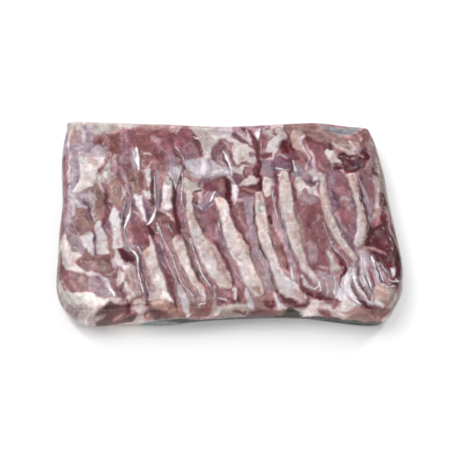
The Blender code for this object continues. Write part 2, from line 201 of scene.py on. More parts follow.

# A layout lists what is painted, in its order, with places in mm. Two numbers a point make a
# closed outline, three make a strip with its width at each point. An indented line goes on with
# the points above it.

# The top: name, tissue, how far it stands up in mm, and its points.
# Patches named sheen, gleam or veil, the lights and shades of the pleats in the front right corner,
# the lilac crests and tan flanks of the ribs, and the dark strips sunk in the valleys are painted
# highlights, sheen and shade, laid on as tissue.
# the ribs, back end to front end; their lilac and white crests are painted highlights, their tan
# flanks painted shade
TOP_LAYOUT = """
# back left corner and the left edge
back_rim grey_fat 0: -234,90 -228,160 -92,162 -90,136 -118,137 -135,134 -150,131 -160,128 -174,126
 -188,124 -196,112 -206,96
corner_mauve lilac 0: -228,88 -228,116 -222,126 -210,108 -206,132 -196,140 -188,126 -172,124
 -166,108 -170,98 -186,94 -204,90
corner_stripe tan_fat 0.6: -214,136,5 -215,124,7 -213,112,7 -211,104,4
corner_lilac lilac_bone 0.3: -221,126,3 -222,112,5 -221,100,5
corner_streak lilac_bone 0.4: -204,133,3 -202,120,4 -199,110,4
corner_red brick 0: -187,111 -183,121 -175,123 -169,115 -172,108 -181,107
edge_lean mauve_lean 0: -230,84 -219,86 -217,60 -214,20 -213,-10 -213,-38 -224,-40 -228,30
edge_red red_lean 0: -225,82,5 -224,60,5 -221,42,3
edge_red_low brick 0: -217,-16,4 -216,-30,6 -216,-42,4
edge_streak string 0.4: -212,94,3 -215,80,4 -216,64,4 -216,44,4
left_lilac lilac 0: -213,90 -205,88 -202,70 -199,48 -203,28 -206,16 -212,18 -214,50
left_lilac_low membrane 0: -213,20 -206,16 -201,0 -200,-20 -198,-40 -212,-42 -214,-10
flank_lilac pale_lilac 0.2: -204,90 -190,96 -184,102 -172,100 -167,92 -168,82 -185,82 -203,86
flank_fat cream_fat 1.2: -204,87 -192,85 -180,83 -169,84 -169,74 -173,63 -177,53 -181,44 -180,37
 -184,32 -190,28 -198,26 -206,29 -203,40 -200,52 -201,70
flank_fat_cool white_fat 0: -199,83,5 -195,70,8 -195,58,6
fat_shade olive -0.3: -196,25,2 -187,26,2 -178,28,3
mottle_by_fat grey_fat 0.2: -178,52 -170,60 -166,72 -160,79 -157,62 -155,48 -160,42 -168,40 -178,42
mottle_white gleam 0.8: -167,61,4 -164,54,6 -160,47,3
mottle_lines olive -0.2: -173,62,2 -171,52,2 -170,44,2
# the flank muscle along the back
flank_muscle red_lean 1.2: -171,108 -168,124 -150,129 -128,133 -118,139 -96,140 -90,133 -78,133
 -70,127 -62,137 -52,137 -46,126 -38,116 -34,104 -29,88 -36,82 -50,78 -58,62 -72,62 -90,50 -112,52
 -122,40 -146,44 -156,60 -160,82
flank_left russet 0: -166,122 -150,125 -147,108 -146,88 -149,70 -156,66 -158,84 -163,102
flank_left_top brown_lean 0: -169,121,4 -167,114,7 -166,107,5
flank_left_low blush 0: -155,86,4 -153,74,9 -152,60,7 -150,50,6
flank_centre brick 0: -122,128 -104,128 -102,112 -106,98 -118,96 -128,104 -130,120
pink_column mauve_lean 0: -149,124 -138,123 -134,104 -133,90 -131,74 -140,70 -147,80 -147,100
pink_column_core rose 0.3: -141,121,3 -139,107,4 -137,93,3
pink_column_foot membrane 0: -144,86,5 -140,80,9 -136,76,6
column_lilac lilac 0: -145,68,3 -140,60,7 -138,50,6
column_strand pink_fat 0.2: -142,58,2 -138,48,3 -134,42,2
flank_tan_top tan_lean 0: -118,140 -93,141 -93,131 -104,130 -117,131
flank_back_pale pink_fat 0.3: -76,140 -63,140 -62,131 -70,127 -78,132
flank_dark_a dark_lean 0: -100,128,4 -94,122,5 -92,112,3
flank_dark_band dark_lean 0: -78,126,3 -76,112,5 -73,100,4
flank_right red_lean 0: -76,124 -66,127 -58,120 -48,112 -52,100 -60,97 -72,102
flank_right_red dark_lean 0: -63,132,4 -60,126,8 -57,118,6
flank_right_pink mauve_lean 0: -60,104 -48,107 -38,98 -34,90 -38,83 -50,80 -58,88
flank_right_rose mauve_lean 0: -46,99,3 -43,92,6 -44,86,3
flank_right_brown umber 0: -47,120,3 -42,109,6 -37,99,5 -32,87,4
flank_sheen membrane 0: -102,119,4 -97,110,9 -95,102,4
flank_sheen_core rose 0: -97,111,4 -95,106,5
flank_sheen_low pale_lean 0: -93,98,5 -91,92,6
flank_spike umber -0.6: -46,122,3 -38,121,5 -28,119,4
spike_line string 0.3: -45,118,2 -40,114,3 -36,110,2
crease_shade umber -0.4: -72,97,2 -67,87,5 -61,76,5 -58,65,3
olive_by_glint olive -0.2: -117,94,3 -115,80,4 -115,66,4
loop_right pale_lean 0: -97,84,5 -96,74,8 -97,66,5
dark_by_loop dark_lean -0.3: -100,88,2 -96,84,4 -93,80,2
loop_ring blush 0.5: -115,78,1.5 -115,72,3 -111,68,4 -105,69,3 -102,74,2
loop_dash_a string 0.4: -112,91,2 -106,89,3 -102,86,2
loop_core red_lean -0.5: -110,78,6 -107,75,6
middle_mauve mauve_lean 0: -88,90 -74,90 -64,80 -62,68 -72,66 -84,70
middle_grey lilac 0: -78,80 -71,83 -66,72 -64,62 -68,52 -76,62
below_mauve pale_lean 0: -92,66 -82,70 -76,58 -76,44 -86,32 -93,40
below_olive olive 0: -86,72,3 -84,64,4
grey_strip_a white_fat 0.6: -113,64 -103,66 -101,52 -102,41 -106,37 -110,46
dark_by_97 umber -0.6: -100,60,3 -99,45,3 -99,32,4 -98,20,6 -97,8,5
lilac_by_97 lilac 0: -93,62,4 -92,46,4 -91,30,6 -91,12,6 -92,0,4
# columns, pads and the valley on the left
column_a tan_lean 0.8: -132,64 -120,62 -113,62 -108,45 -109,30 -116,25 -126,24 -130,40
column_a_blush brick 0: -118,58,4 -114,46,6 -112,34,4
pad_a tan_lean 1.2: -177,32 -170,37 -164,28 -161,15 -162,0 -163,-12 -169,-16 -174,-8 -177,6
pad_b tan_lean 1.2: -156,44 -150,50 -143,40 -140,25 -139,8 -145,1 -152,3 -156,14
between_pads dark_lean -0.8: -161,32,3 -160,16,4 -157,4,7 -157,-8,8 -159,-18,6 -160,-26,4
pads_maroon dark_lean 0: -158,8,3 -156,1,4 -159,-10,4
pad_string_a string 0.5: -171,38,2 -167,32,3 -163,27,2
pad_string_b string 0.5: -142,37,3 -138,31,4 -138,22,3 -141,15,2
pad_string_c pale_lilac 0.4: -137,40,2 -133,32,3 -130,24,3
pad_dark dark_lean -0.5: -130,40,2 -129,31,4 -128,26,3
pad_mauve dusk 0: -158,-20 -151,-16 -149,-30 -152,-38 -158,-36
pool pale_lilac 0: -206,26 -196,25 -178,25 -176,8 -179,-6 -186,0 -194,2 -204,10
pool_blush pink_fat 0: -181,22,4 -178,12,5 -177,2,4
pool_dark lilac -0.3: -192,18 -185,20 -182,10 -184,4 -190,6
pool_deep dusk -0.3: -188,16,2 -187,9,4
pool_line_light gleam 0.5: -210,25,2 -203,18,2 -197,10,3 -190,3,3 -184,2,2
pool_line_dark dusk -0.3: -184,12,2 -182,2,3 -179,-10,3 -175,-20,2
pool_line_right pink_fat 0.4: -178,6,2 -175,-8,3 -171,-20,5
pool_left_white lilac_bone 0.3: -207,12,4 -204,2,7 -202,-8,4
left_brown tan_lean 0.6: -199,-2 -192,1 -184,-6 -178,-14 -173,-22 -174,-30 -181,-33 -188,-38
 -197,-36 -200,-22
left_brown_rose brown_lean 0: -196,-12,4 -193,-24,7 -192,-34,5
left_brown_olive olive 0: -186,-9,3 -180,-18,7 -178,-27,7
# front left
left_pink mauve_lean 0: -213,-22 -200,-22 -198,-34 -196,-42 -206,-42 -213,-38
left_triangle_a white_fat 1: -190,-43 -183,-35 -175,-31 -172,-44 -169,-58 -168,-72 -174,-68 -181,-58
 -187,-50
left_triangle_b white_fat 1: -173,-26 -170,-18 -165,-16 -163,-22 -159,-32 -155,-44 -152,-56 -150,-68
 -158,-70 -165,-68 -168,-52 -171,-38
triangle_line dusk -0.5: -175,-28,2 -172,-44,3 -168,-58,3 -166,-69,2
triangle_warm cream_fat 0: -163,-34,4 -159,-48,6 -157,-62,6
lilac_by_band lilac 0: -204,-42 -196,-41 -190,-47 -184,-56 -180,-64 -188,-67 -197,-66 -202,-56
left_band cream_fat 1: -216,-44 -208,-40 -203,-48 -202,-58 -198,-66 -189,-69 -184,-70 -190,-78
 -190,-85 -184,-90 -174,-93 -164,-96 -157,-100 -160,-104 -168,-101 -178,-99 -190,-97 -200,-93
 -207,-87 -211,-78 -214,-64
band_lilac pale_lilac 0: -208,-76,3 -204,-82,5 -200,-86,3
lower_lean brown_lean 0.4: -219,-58 -214,-64 -211,-80 -206,-88 -195,-94 -185,-98 -176,-101 -174,-110
 -176,-120 -185,-122 -195,-119 -203,-110 -211,-102 -219,-94
lower_lean_rose red_lean 0: -214,-84,4 -206,-94,7 -196,-102,8 -188,-106,6
lower_lean_tan tan_lean 0: -182,-102,5 -179,-112,7 -184,-119,4
lower_membrane membrane 0.4: -173,-102 -163,-99 -156,-103 -150,-110 -144,-116 -139,-121 -142,-130
 -152,-128 -162,-123 -172,-118
lower_membrane_core dusk 0: -164,-103,4 -158,-110,7 -151,-115,5
lower_membrane_grey lilac 0: -158,-118,4 -150,-122,8 -144,-125,5
band_tail white_fat 0.8: -160,-99,4 -153,-105,5 -147,-112,5 -141,-118,6 -137,-124,5
tail_gleam gleam 0.5: -144,-119,3 -140,-123,6 -138,-127,4
corner_beige cream_fat 0.2: -220,-96 -212,-102 -204,-110 -196,-118 -190,-126 -200,-138 -214,-124
corner_string string 0.4: -218,-97,2 -209,-105,3 -201,-113,3 -195,-119,2
corner_cream bright_fat 0.4: -206,-117 -195,-121 -180,-122 -168,-121 -158,-126 -148,-131 -140,-133
 -146,-140 -156,-147 -170,-150 -186,-142 -200,-132
corner_low cream_fat 0.2: -206,-132 -196,-138 -180,-141 -164,-146 -160,-162 -206,-166 -222,-138
corner_line string 0.4: -197,-136,2 -186,-140,2 -174,-141,2
front_muscle brown_lean 1.2: -189,-80 -184,-73 -180,-64 -174,-69 -168,-73 -160,-70 -150,-67 -146,-72
 -142,-82 -139,-90 -137,-98 -145,-102 -152,-97 -160,-94 -172,-92 -183,-89
front_muscle_left red_lean 0: -187,-81,4 -180,-81,9 -173,-84,5
front_muscle_right brick 0: -149,-73,4 -146,-84,6 -142,-93,5
muscle_edge olive -0.3: -181,-61,2 -178,-67,4 -172,-72,3
muscle_string string 0.3: -152,-97,2 -145,-95,2 -139,-92,2
muscle_low mauve_lean 0: -149,-103,5 -143,-107,7 -138,-108,5
pink_strip pale_lean 0.3: -153,-30,4 -150,-46,5 -147,-62,6 -144,-76,6 -140,-88,4
pink_strip_rust rust 0: -150,-52,3 -148,-62,4 -146,-72,3
white_strip white_fat 1: -151,1 -144,0 -141,-10 -139,-22 -137,-34 -134,-46 -131,-56 -134,-64
 -133,-74 -129,-82 -134,-88 -139,-82 -143,-66 -146,-48 -148,-32 -152,-20 -154,-10
strip_foot string 0.2: -142,-76,3 -140,-84,4 -138,-90,3
grey_valley lilac -1: -133,22,4 -133,8,7 -134,-8,8 -134,-22,7 -131,-38,5 -128,-52,4 -126,-60,3
valley_deep plum -0.4: -134,10,2 -135,-2,4 -136,-14,6 -135,-26,5
valley_slate dusk -0.6: -123,18,5 -121,4,6 -122,-10,6 -124,-24,5 -125,-40,3
valley_line rose 0.3: -134,16,2 -137,0,2 -138,-16,2 -136,-30,2
valley_white gleam 0.8: -123,21 -114,24 -110,12 -107,2 -104,-8 -102,-18 -106,-19 -110,-10 -114,-2
 -118,9
valley_tail gleam 0.4: -113,29 -105,28 -99,20 -98,15 -104,17 -110,22
valley_mauve dusk -0.6: -108,16,4 -103,4,7 -101,-8,7 -102,-18,4
valley_foot string 0.4: -122,-2,3 -116,-8,3 -110,-16,3
front_dark_lean red_lean 0.5: -124,-20 -114,-18 -104,-22 -99,-32 -97,-46 -99,-56 -105,-61 -113,-57
 -119,-54 -124,-58 -127,-47 -127,-31
front_lean_lilac membrane 0: -126,-34,3 -124,-46,5 -122,-54,4
front_lean_core dark_lean 0: -104,-28,4 -102,-38,7 -102,-50,6
dark_cup deep_lean -1: -137,-62 -131,-58 -125,-62 -119,-60 -114,-68 -114,-78 -120,-81 -128,-81
 -133,-73
cup_core deep_lean -0.4: -134,-62,3 -130,-65,6 -126,-70,5
cup_lilac dusk 0.2: -124,-82,4 -118,-84,6 -114,-84,4
cup_spots white_fat 0.3: -132,-84,3 -128,-87,5 -126,-91,4
lean_behind_2 brick -0.4: -92,-2 -82,-2 -74,-8 -68,-16 -62,-28 -56,-40 -60,-46 -68,-46 -78,-40
 -88,-32 -92,-20
lean_behind_2_dark dark_lean 0: -74,-14,5 -69,-24,7 -66,-36,6
grey_strip_b gleam 1.4: -84,40 -78,46 -73,42 -72,28 -73,12 -71,3 -76,-2 -84,0 -87,8 -87,25
grey_strip_b_up grey_fat 0.4: -79,56,3 -77,48,5 -77,42,6
strip_b_dark dusk -0.6: -89,34,2 -88,20,4 -88,4,4
strip_b_foot string 0.4: -87,0,2 -80,-5,3 -73,-8,4 -69,-16,3
valley_by_4 deep_lean -1.2: -74,55,2 -70,42,5 -68,28,8 -68,12,8 -67,-4,7 -63,-20,8 -60,-34,7
valley_by_4_core blood -0.6: -70,40,3 -68,28,6 -68,14,6 -68,2,4
valley_fork umber -0.8: -61,60,2 -62,50,5 -64,40,4
slate_by_fold dusk -0.3: -62,32,3 -62,16,4 -62,0,4 -59,-12,3
right_of_fold mauve_lean -0.2: -56,44 -50,44 -50,24 -51,6 -56,0 -58,20
slate_by_4 dusk -0.6: -57,-4,3 -55,-18,5 -53,-30,4 -49,-38,3
# back middle
veil_tan tan_fat 0.2: -55,58,3 -50,53,6 -42,48,6 -36,44,4
middle_cream grey_fat 0.6: -57,50 -48,46 -40,43 -32,40 -27,32 -32,22 -38,24 -46,28 -50,18 -56,30
middle_cream_red brown_lean -0.2: -45,26 -38,24 -36,14 -42,8 -46,16
fold_plum plum -0.3: -38,9,1.5 -32,5,2 -27,2,4 -22,6,4 -18,14,3 -13,24,1.5
middle_cream_dark umber -0.4: -40,28,4 -34,28,4
middle_strand string 0.3: -34,24,3 -32,14,4 -34,8,3
back_middle_fat grey_fat 0.8: -50,142 -10,150 22,146 22,132 10,124 10,112 0,114 -10,110 -18,100
 -19,86 -22,78 -30,80 -30,90 -33,104 -38,116 -46,124
middle_fat_mauve pale_lilac 0: -14,136 2,138 8,128 -2,124 -12,126
middle_fat_yellow cream_fat 0.3: -16,118,6 -2,118,9 8,114,6
middle_fat_left pink_fat 0.4: -27,125,5 -33,112,5 -31,98,4 -27,88,4
middle_fat_pink pink_fat 0: -42,130,5 -36,126,7 -30,128,5
middle_fat_low cream_fat 0.3: -28,92,5 -24,85,8 -23,79,5
eye_of_lean membrane -0.4: -19,100 -14,106 -8,110 0,112 8,106 11,94 12,78 12,68 4,62 -6,68 -14,72
 -19,84
eye_red mauve_lean 0: -15,100 -8,108 0,108 2,98 -4,92 -12,90
eye_left_dark dusk -0.3: -18,100,2 -18,88,4 -14,78,5 -11,72,3
eye_line string 0.3: -3,108,2 3,103,3 7,98,2
eye_dark umber -0.4: 0,90,2 1,80,4 4,70,4 7,60,3
eye_brown brown_lean 0: 8,92,5 11,80,5 13,72,4
eye_strings pink_fat 0.2: -9,92,2 -8,80,3 -4,72,3
veil pale_lilac 0.6: -53,72 -46,80 -30,82 -20,78 -8,70 4,66 8,58 2,54 -14,52 -24,50 -38,50 -50,56
veil_light gleam 0.2: -32,76,4 -29,68,8 -30,58,7
veil_grey lilac 0: -42,72,4 -37,70,7 -33,74,4
veil_dark dusk -0.2: -22,78,2 -20,70,4 -20,62,3
veil_band gleam 0.4: -18,56,4 -8,59,5 2,58,3
veil_under lilac -0.2: -12,63,2 -4,64,3 3,62,2
veil_lilac pale_lilac 0: -14,69,4 -6,68,5
veil_edge string 0.4: -24,50,2 -12,53,3 2,54,2 8,50,3 10,40,2
veil_slate dusk -0.3: -22,50,3 -30,46,5 -36,39,4 -34,34,2
right_arm string 0.4: 13,104,2 13,92,3 14,82,4 16,76,2
band_ground membrane 0: 10,128 18,142 40,142 60,141 62,124 58,104 50,92 48,108 40,104 28,110 14,122
band_mauve mauve_lean 0: 14,134 24,128 34,120 42,116 40,132 30,140 18,140
purple_band dusk -0.3: 11,126,4 19,119,7 28,112,7 35,105,5 38,100,4
band_stripe string 0.4: 17,127,2 24,120,2 31,114,3 37,105,3
red_spot blood -0.3: 23,136 29,137 29,129 24,128
band_dark_line dark_lean -0.3: 32,139,2 36,130,4 38,120,4 38,108,3
band_light lilac_bone 0.2: 31,132,3 32,120,4 35,112,3
right_of_red_strip red_lean 0: 50,134 58,134 60,118 58,104 52,92 50,86 47,104 48,120
right_of_red_strip_red red_lean 0: 54,122,4 57,114,7 55,104,6
top_dark dark_lean -0.2: 44,138,4 50,140,5 56,138,3
top_pale pink_fat 0.2: 56,132,5 60,128,7
back_fat_lump cream_fat 1.4: 11,118 20,112 30,105 37,99 41,96 42,88 43,78 40,72 34,74 27,77 20,71
 15,76 14,88 13,104
lump_grey grey_fat 0: 22,92,7 24,82,9 30,88,7
lump_pink string 0: 38,94,3 38,82,5 36,76,6
lump_spots dusk -0.2: 35,92,3 37,86,5 40,90,3
lump_foot brown_lean 0: 13,73,4 18,70,4 26,74,4
mottle_under_lump cream_fat 0.3: 8,70 18,68 26,72 34,70 40,66 38,56 28,52 18,54 10,52 9,60
mottle_red mauve_lean -0.3: 25,54 24,62 29,68 36,68 38,60 33,54 28,50
mottle_ring dark_lean -0.2: 29,66,2 26,60,3 28,53,3
mottle_left dusk -0.2: 15,56,3 20,54,4 22,48,3
red_strip dark_lean -0.8: 40,120,5 42,110,7 44,98,6 46,86,6 47,76,5
red_strip_slate umber -0.3: 42,119,2 45,110,3 47,98,3 49,86,2
red_blob dark_lean -0.6: 38,66 42,70 48,72 50,60 48,52 42,53 40,60
dark_line_50 blood -0.6: 50,82,2 50,70,4 49,58,4 48,51,3
film_gleam gleam 0.6: 43,127 46,128 49,135 51,134 49,124 48,117 45,120
fat_post_up grey_fat 0.8: 62,122 62,141 70,145 86,142 88,128 86,118 80,116 72,118
fat_post white_fat 1.3: 57,97 62,108 66,117 74,121 80,118 77,110 74,100 69,92 67,84 63,90
post_cream cream_fat 0: 78,134,8 80,124,9
post_brown brown_lean -0.2: 70,132,3 71,124,5
post_grey dusk 0: 62,138,3 60,132,4
post_pink string 0: 58,99,3 62,96,4 66,88,3
small_dark dark_lean -0.5: 55,86 56,92 64,92 63,85
dark_red_back dark_lean -1: 77,96 78,110 82,117 90,119 94,112 93,100 90,90 82,88
dark_red_core blood 0: 84,112,5 84,103,8 88,96,5
dark_brown_back blood -0.4: 91,110,4 94,101,5 96,96,4
line_by_post umber -0.4: 86,142,2 88,130,3 90,119,4
teeth_ground tan_fat 0: 90,141 110,142 106,130 94,124 90,130
teeth olive -0.2: 91,136,2 96,133,3 101,136,2 106,138,3
purple_membrane dusk -0.3: 66,84 74,88 84,92 92,88 93,72 84,66 72,66 66,70
purple_lines pale_lilac 0.2: 73,88,2 80,91,3 86,84,2
purple_deep dark_lean -0.3: 80,84,4 86,80,6 91,84,4
line_under_dark string 0.4: 52,82,2 60,82,2 66,84,3 67,92,3
membrane_light lilac 0: 52,80 62,80 66,70 66,60 60,52 52,56
tan_by_blob tan_fat 0: 52,66,4 55,56,7 58,51,5
membrane_mauve dusk 0: 66,70,4 68,58,6 70,48,6 69,36,5
lean_right_back dark_lean 0: 92,94 100,96 110,86 116,80 112,74 102,78 94,78
lean_right_mauve brown_lean 0: 100,94,5 106,84,7 110,76,5
lilac_right lilac 0: 93,70 104,72 108,62 108,50 98,48 93,54
dark_line_92 umber -0.5: 92,82,2 92,70,4 91,58,3 90,50,3
cream_tan_fat peach_fat 1: 92,120 96,130 104,136 110,134 112,124 110,112 114,102 116,94 114,88
 108,94 100,98 96,106
cream_tail string 0.8: 112,122,4 108,114,6 110,104,5 114,94,4 116,82,3 114,72,3 112,62,2
cream_tail_b string 0.6: 116,106,2 120,94,4 121,84,5 121,74,5 124,66,3
back_edge_lean red_lean 0: 114,120 122,124 134,114 146,110 148,96 140,92 136,82 128,76 123,84 121,98
 116,108
back_edge_deep dark_lean -0.3: 116,120,5 121,113,8 128,108,6 138,106,6 142,98,5
dark_bar umber -0.4: 148,110,5 147,98,5
oval_lean brown_lean 0.2: 130,80 138,80 142,72 141,60 136,55 131,58 129,68
oval_blush rose 0: 132,76,3 134,68,4
tail_dark dusk 0: 117,78,4 117,66,5 115,56,4
back_edge_tan tan_lean 0.6: 100,138 106,146 122,149 138,148 140,136 150,130 162,124 172,118 176,112
 168,107 160,107 148,110 138,110 128,114 118,124 108,130
edge_rust rust 0: 104,138,6 116,138,8 130,138,8
edge_streak brick 0: 112,128,3 124,126,4 136,120,3
edge_streak_b olive 0: 140,132,5 150,124,6 162,118,5
# back right
pink_corner brown_lean 0.4: 172,106 176,118 186,128 196,136 208,146 208,124 206,110 200,104 186,102
corner_red_b brick 0: 190,120 191,130 200,134 203,124 200,112 194,112
corner_tip pink_fat 0: 196,138,6 203,146,8 207,152,6
corner_peach peach_fat 0.3: 190,126,2 192,120,4 194,113,3
corner_mottle pink_fat 0.3: 160,110 170,108 180,112 190,110 188,102 178,96 168,98 158,104
corner_mottle_rust rust -0.2: 163,103,3 172,102,3 183,108,4
corner_mottle_white string 0.3: 176,114,3 178,107,5 180,101,4
right_edge_fat grey_brown 0.4: 206,118 212,110 218,92 224,60 224,10 222,-8 217,-2 214,14 210,30
 205,56 199,58 198,68 202,82 206,96 201,110
edge_fat_shade dusk -0.2: 208,106,3 209,94,5 206,82,4 208,72,3
lobe_fat cream_fat 1.4: 141,94 146,98 153,93 158,87 162,81 162,75 156,73 150,71 147,76 142,84
lobe_lilac pale_lilac 0: 152,96,4 156,90,4
red_under_lobe red_lean 0: 150,72 164,74 170,60 160,54 150,58
red_under_spot blood -0.4: 153,68,4 156,64,5 160,67,4
red_under_pale string 0.3: 157,61,3 162,64,3 165,60,3
blood_pit blood -1.5: 156,87 160,93 170,95 178,93 188,93 194,98 199,104 203,99 204,90 200,80 196,73
 190,68 185,64 179,59 171,60 167,66 166,76 163,82
pit_light dark_lean 0.5: 186,86 196,85 199,79 194,73 188,70 184,76
pit_plum plum 0.3: 182,92,3 184,83,6 182,74,4 178,66,2
pit_streak brick 0.2: 163,88,2 170,82,3 174,72,2
pit_purple plum 0.3: 190,96,4 196,99,7 201,96,5
pit_line membrane 0.6: 178,90,3 184,89,4 190,91,4 194,88,2
pit_rust rust 0.4: 156,98,2 165,97,3 174,94,2
corner_strings string 0.8: 154,110,3 158,104,4 165,100,4 172,97,4 181,94,3
rim_spot umber -0.3: 205,66,3 205,60,5 209,56,4
# between the back ends of the ribs
dark_patch red_lean -0.8: -30,38 -22,46 -10,51 0,54 7,48 9,36 9,20 8,6 4,2 2,12 -4,20 -12,28 -20,26
 -28,29
patch_left dark_lean 0: -27,35,4 -20,37,9 -14,32,6
patch_brown tan_lean 0: -6,48,4 -5,38,6 -6,30,3
patch_right blood -0.3: 2,50,4 5,38,8 6,22,8 7,8,6 8,-4,4
patch_low dusk 0: -10,26,3 -4,24,5 0,18,3
pale_between pale_lilac 0.8: 11,48 16,42 17,28 19,19 22,14 18,8 15,3 12,8 9,18 9,34
pale_between_core gleam 0: 13,38,4 13,26,5 16,14,4
grey_by_island dusk -0.2: 13,54,4 15,48,5 17,42,3
fat_island cream_fat 1: 20,38 24,45 30,50 37,55 43,50 45,42 38,37 28,36
island_pink string 0: 21,40,3 27,42,4
island_right tan_fat 0: 45,50,4 48,46,4
brown_band dark_lean 0: 18,36 30,36 42,38 48,46 53,44 53,28 44,27 38,22 30,14 20,18
brown_band_low mauve_lean 0: 22,24,5 30,19,7 38,20,5
brown_band_rust rust 0: 24,33,3 32,31,4 42,30,4
brown_band_end blood -0.3: 51,54,2 50,44,5 51,34,4
white_island cream_fat 0.8: 98,50 107,50 109,38 106,29 101,22 97,32
red_by_7 red_lean 0: 91,50,3 92,38,7 94,26,7 96,16,5
red_by_7_dark dark_lean -0.3: 91,44,2 93,30,4 96,16,4 98,6,3
mauve_by_island membrane 0: 100,20 110,26 122,24 128,14 122,6 108,4 100,8
web_ground membrane 0: 108,62 124,64 130,54 126,40 112,40 107,50
web_grey grey_fat 0.3: 116,58,4 122,56,6 127,50,5
web_dark dusk -0.4: 110,46,5 116,44,7 122,42,4
web_a string 0.5: 106,40,3 112,36,4 116,32,5
web_b white_fat 0.6: 112,34 118,38 124,36 126,28 120,24 113,26
web_c string 0.6: 120,34,3 124,39,3 127,44,2
web_d string 0.6: 122,28,4 126,21,4 129,15,3
web_gleam gleam 0.5: 120,45,3 124,48,5 128,51,3
web_top pale_lilac 0.4: 112,62,2 118,58,4 124,62,3
# membranes and lean between the ribs
lean_1_2 dusk -1: -112,-58,4 -109,-72,6 -106,-88,6 -103,-104,6 -98,-120,7 -96,-136,5
maroon_1_2 blood -0.4: -97,-122,3 -96,-132,4 -96,-140,3
line_1_2 string 0.4: -101,-106,2 -97,-117,2 -94,-127,3 -94,-134,2
tan_by_2 tan_lean 0.2: -104,-76,3 -101,-90,6 -97,-104,7 -91,-118,8
dark_by_2 blood -0.8: -104,-22,3 -99,-32,5 -95,-40,5 -91,-47,3
lean_2_3 pale_lean -0.6: -93,-26 -82,-24 -72,-40 -64,-58 -60,-78 -52,-98 -40,-120 -32,-134 -62,-138
 -70,-122 -76,-102 -84,-80 -90,-60
lean_2_3_dusk dusk -0.3: -89,-50,5 -86,-64,9 -82,-78,8 -77,-92,4
lean_2_3_rose pale_lean 0: -72,-76,5 -67,-90,9 -63,-102,6
lean_2_3_maroon dark_lean -0.2: -75,-88,4 -70,-102,8 -66,-114,6
shade_by_3 tan_fat -0.5: -67,-60,2 -63,-74,4 -58,-87,4 -53,-98,4 -47,-108,4 -42,-117,3
tan_by_3 tan_fat 0.2: -60,-90,3 -56,-100,6 -50,-111,6 -44,-121,5
low_2_3 tan_fat 0.2: -50,-114 -42,-122 -36,-132 -40,-138 -46,-130 -52,-122
lean_3_4 brown_lean -0.6: -56,-40,6 -50,-48,10 -46,-62,9 -42,-76,9 -38,-90,9 -31,-103,9 -24,-115,8
lean_3_4_shade umber -0.2: -43,-82,3 -38,-94,6 -33,-103,5
lean_3_4_lilac lilac 0: -38,-70,2 -36,-80,5 -33,-90,3
lean_3_4_red pale_lean 0: -30,-100,4 -24,-108,6 -18,-118,6
lean_4_5 mauve_lean -0.4: -40,2 -30,-2 -14,4 -8,-8 -2,-28 1,-46 8,-68 16,-90 24,-110 28,-122 12,-120
 8,-102 0,-84 -8,-64 -18,-46 -30,-26
lean_4_5_red red_lean 0: -24,-2,8 -18,-14,10 -14,-26,7
lean_4_5_lilac membrane 0: -10,-26,5 -6,-40,8 0,-56,6 6,-72,4
lean_4_5_rose pale_lean 0: 3,-68,3 10,-84,6 18,-102,7 22,-116,5
lean_4_5_line dusk -0.3: -9,-18,3 -6,-30,3 -5,-40,2
peach_by_4 peach_fat 0: -42,-2,3 -38,-13,6 -33,-24,5
dark_by_4 dark_lean -0.6: -14,-46,3 -8,-58,5 -4,-68,5 0,-78,6 4,-88,5 8,-98,5 11,-108,4
lean_5_6 blush -0.6: 18,14 26,18 38,17 41,-3 43,-43 50,-67 58,-91 66,-118 52,-120 46,-98 36,-70
 24,-44 12,-18 12,1
lean_5_6_red red_lean -0.2: 12,6 20,12 25,2 28,-14 31,-30 24,-40 16,-26 10,-8
lean_5_6_rose brown_lean 0: 18,4,5 20,-8,7 24,-22,6
lean_5_6_mauve membrane -0.2: 30,-36,4 36,-52,6 42,-68,6 46,-84,4
lean_5_6_lilac lilac 0: 29,12,5 31,-2,7 34,-18,8 36,-34,6 40,-48,4
lean_5_6_streak pale_lilac 0.2: 36,0,3 36,-14,3 35,-28,3
lean_5_6_low pink_fat 0: 50,-88,4 55,-102,6 60,-114,5
dark_by_5 dark_lean -0.8: 8,2,4 10,-10,5 14,-24,5 21,-38,5 29,-52,4 36,-70,4 42,-88,4 48,-104,3
line_5_6 rose 0.3: 18,-10,2 21,-16,3 27,-27,3
edge_of_6 umber -0.5: 38,20,2 39,4,2 40,-14,3 42,-32,2 45,-50,3 50,-68,3 55,-83,3 60,-98,3 63,-112,3
 67,-121,3
lean_6_7 blush -0.4: 53,18 64,20 74,24 75,0 79,-28 86,-64 94,-92 92,-110 82,-104 74,-88 66,-62
 58,-38 54,-12
red_by_6 red_lean 0: 54,22 62,20 65,6 66,-10 60,-16 55,-8 53,6
red_by_6_core brick 0: 60,14,4 60,4,4
dark_spot_by_6 blood -0.4: 57,-11 62,-10 65,-18 60,-21
tan_by_6 tan_fat 0: 58,-22,4 60,-34,6 63,-46,4
warm_by_6 rust 0.2: 61,-30,5 66,-46,8 71,-62,9 76,-78,8 79,-90,4
warm_by_6_edge dark_lean -0.3: 64,-30,2 68,-42,3 74,-60,3 79,-78,3 82,-92,2
lilac_6_7 blush 0: 66,-4,4 70,-24,7 75,-44,8 81,-64,6
mauve_6_7 dark_lean -0.3: 69,56,4 70,40,5 70,20,5 71,4,4 73,-12,3
mauve_6_7_top lilac 0: 62,56,4 65,46,5 66,38,3
edge_of_7 dusk -0.5: 76,-14,3 78,-32,3 82,-50,3 87,-66,3 91,-80,3 97,-92,3
lean_7_8 red_lean 0.8: 98,8 108,6 122,10 130,6 131,-10 134,-27 138,-49 138,-62 132,-76 134,-94
 122,-100 112,-84 104,-56 98,-23
lean_7_8_deep brick 0: 112,6 122,6 124,-4 116,-10 110,-4
lean_7_8_left brown_lean 0: 100,-14,4 103,-34,7 107,-56,7 110,-74,5
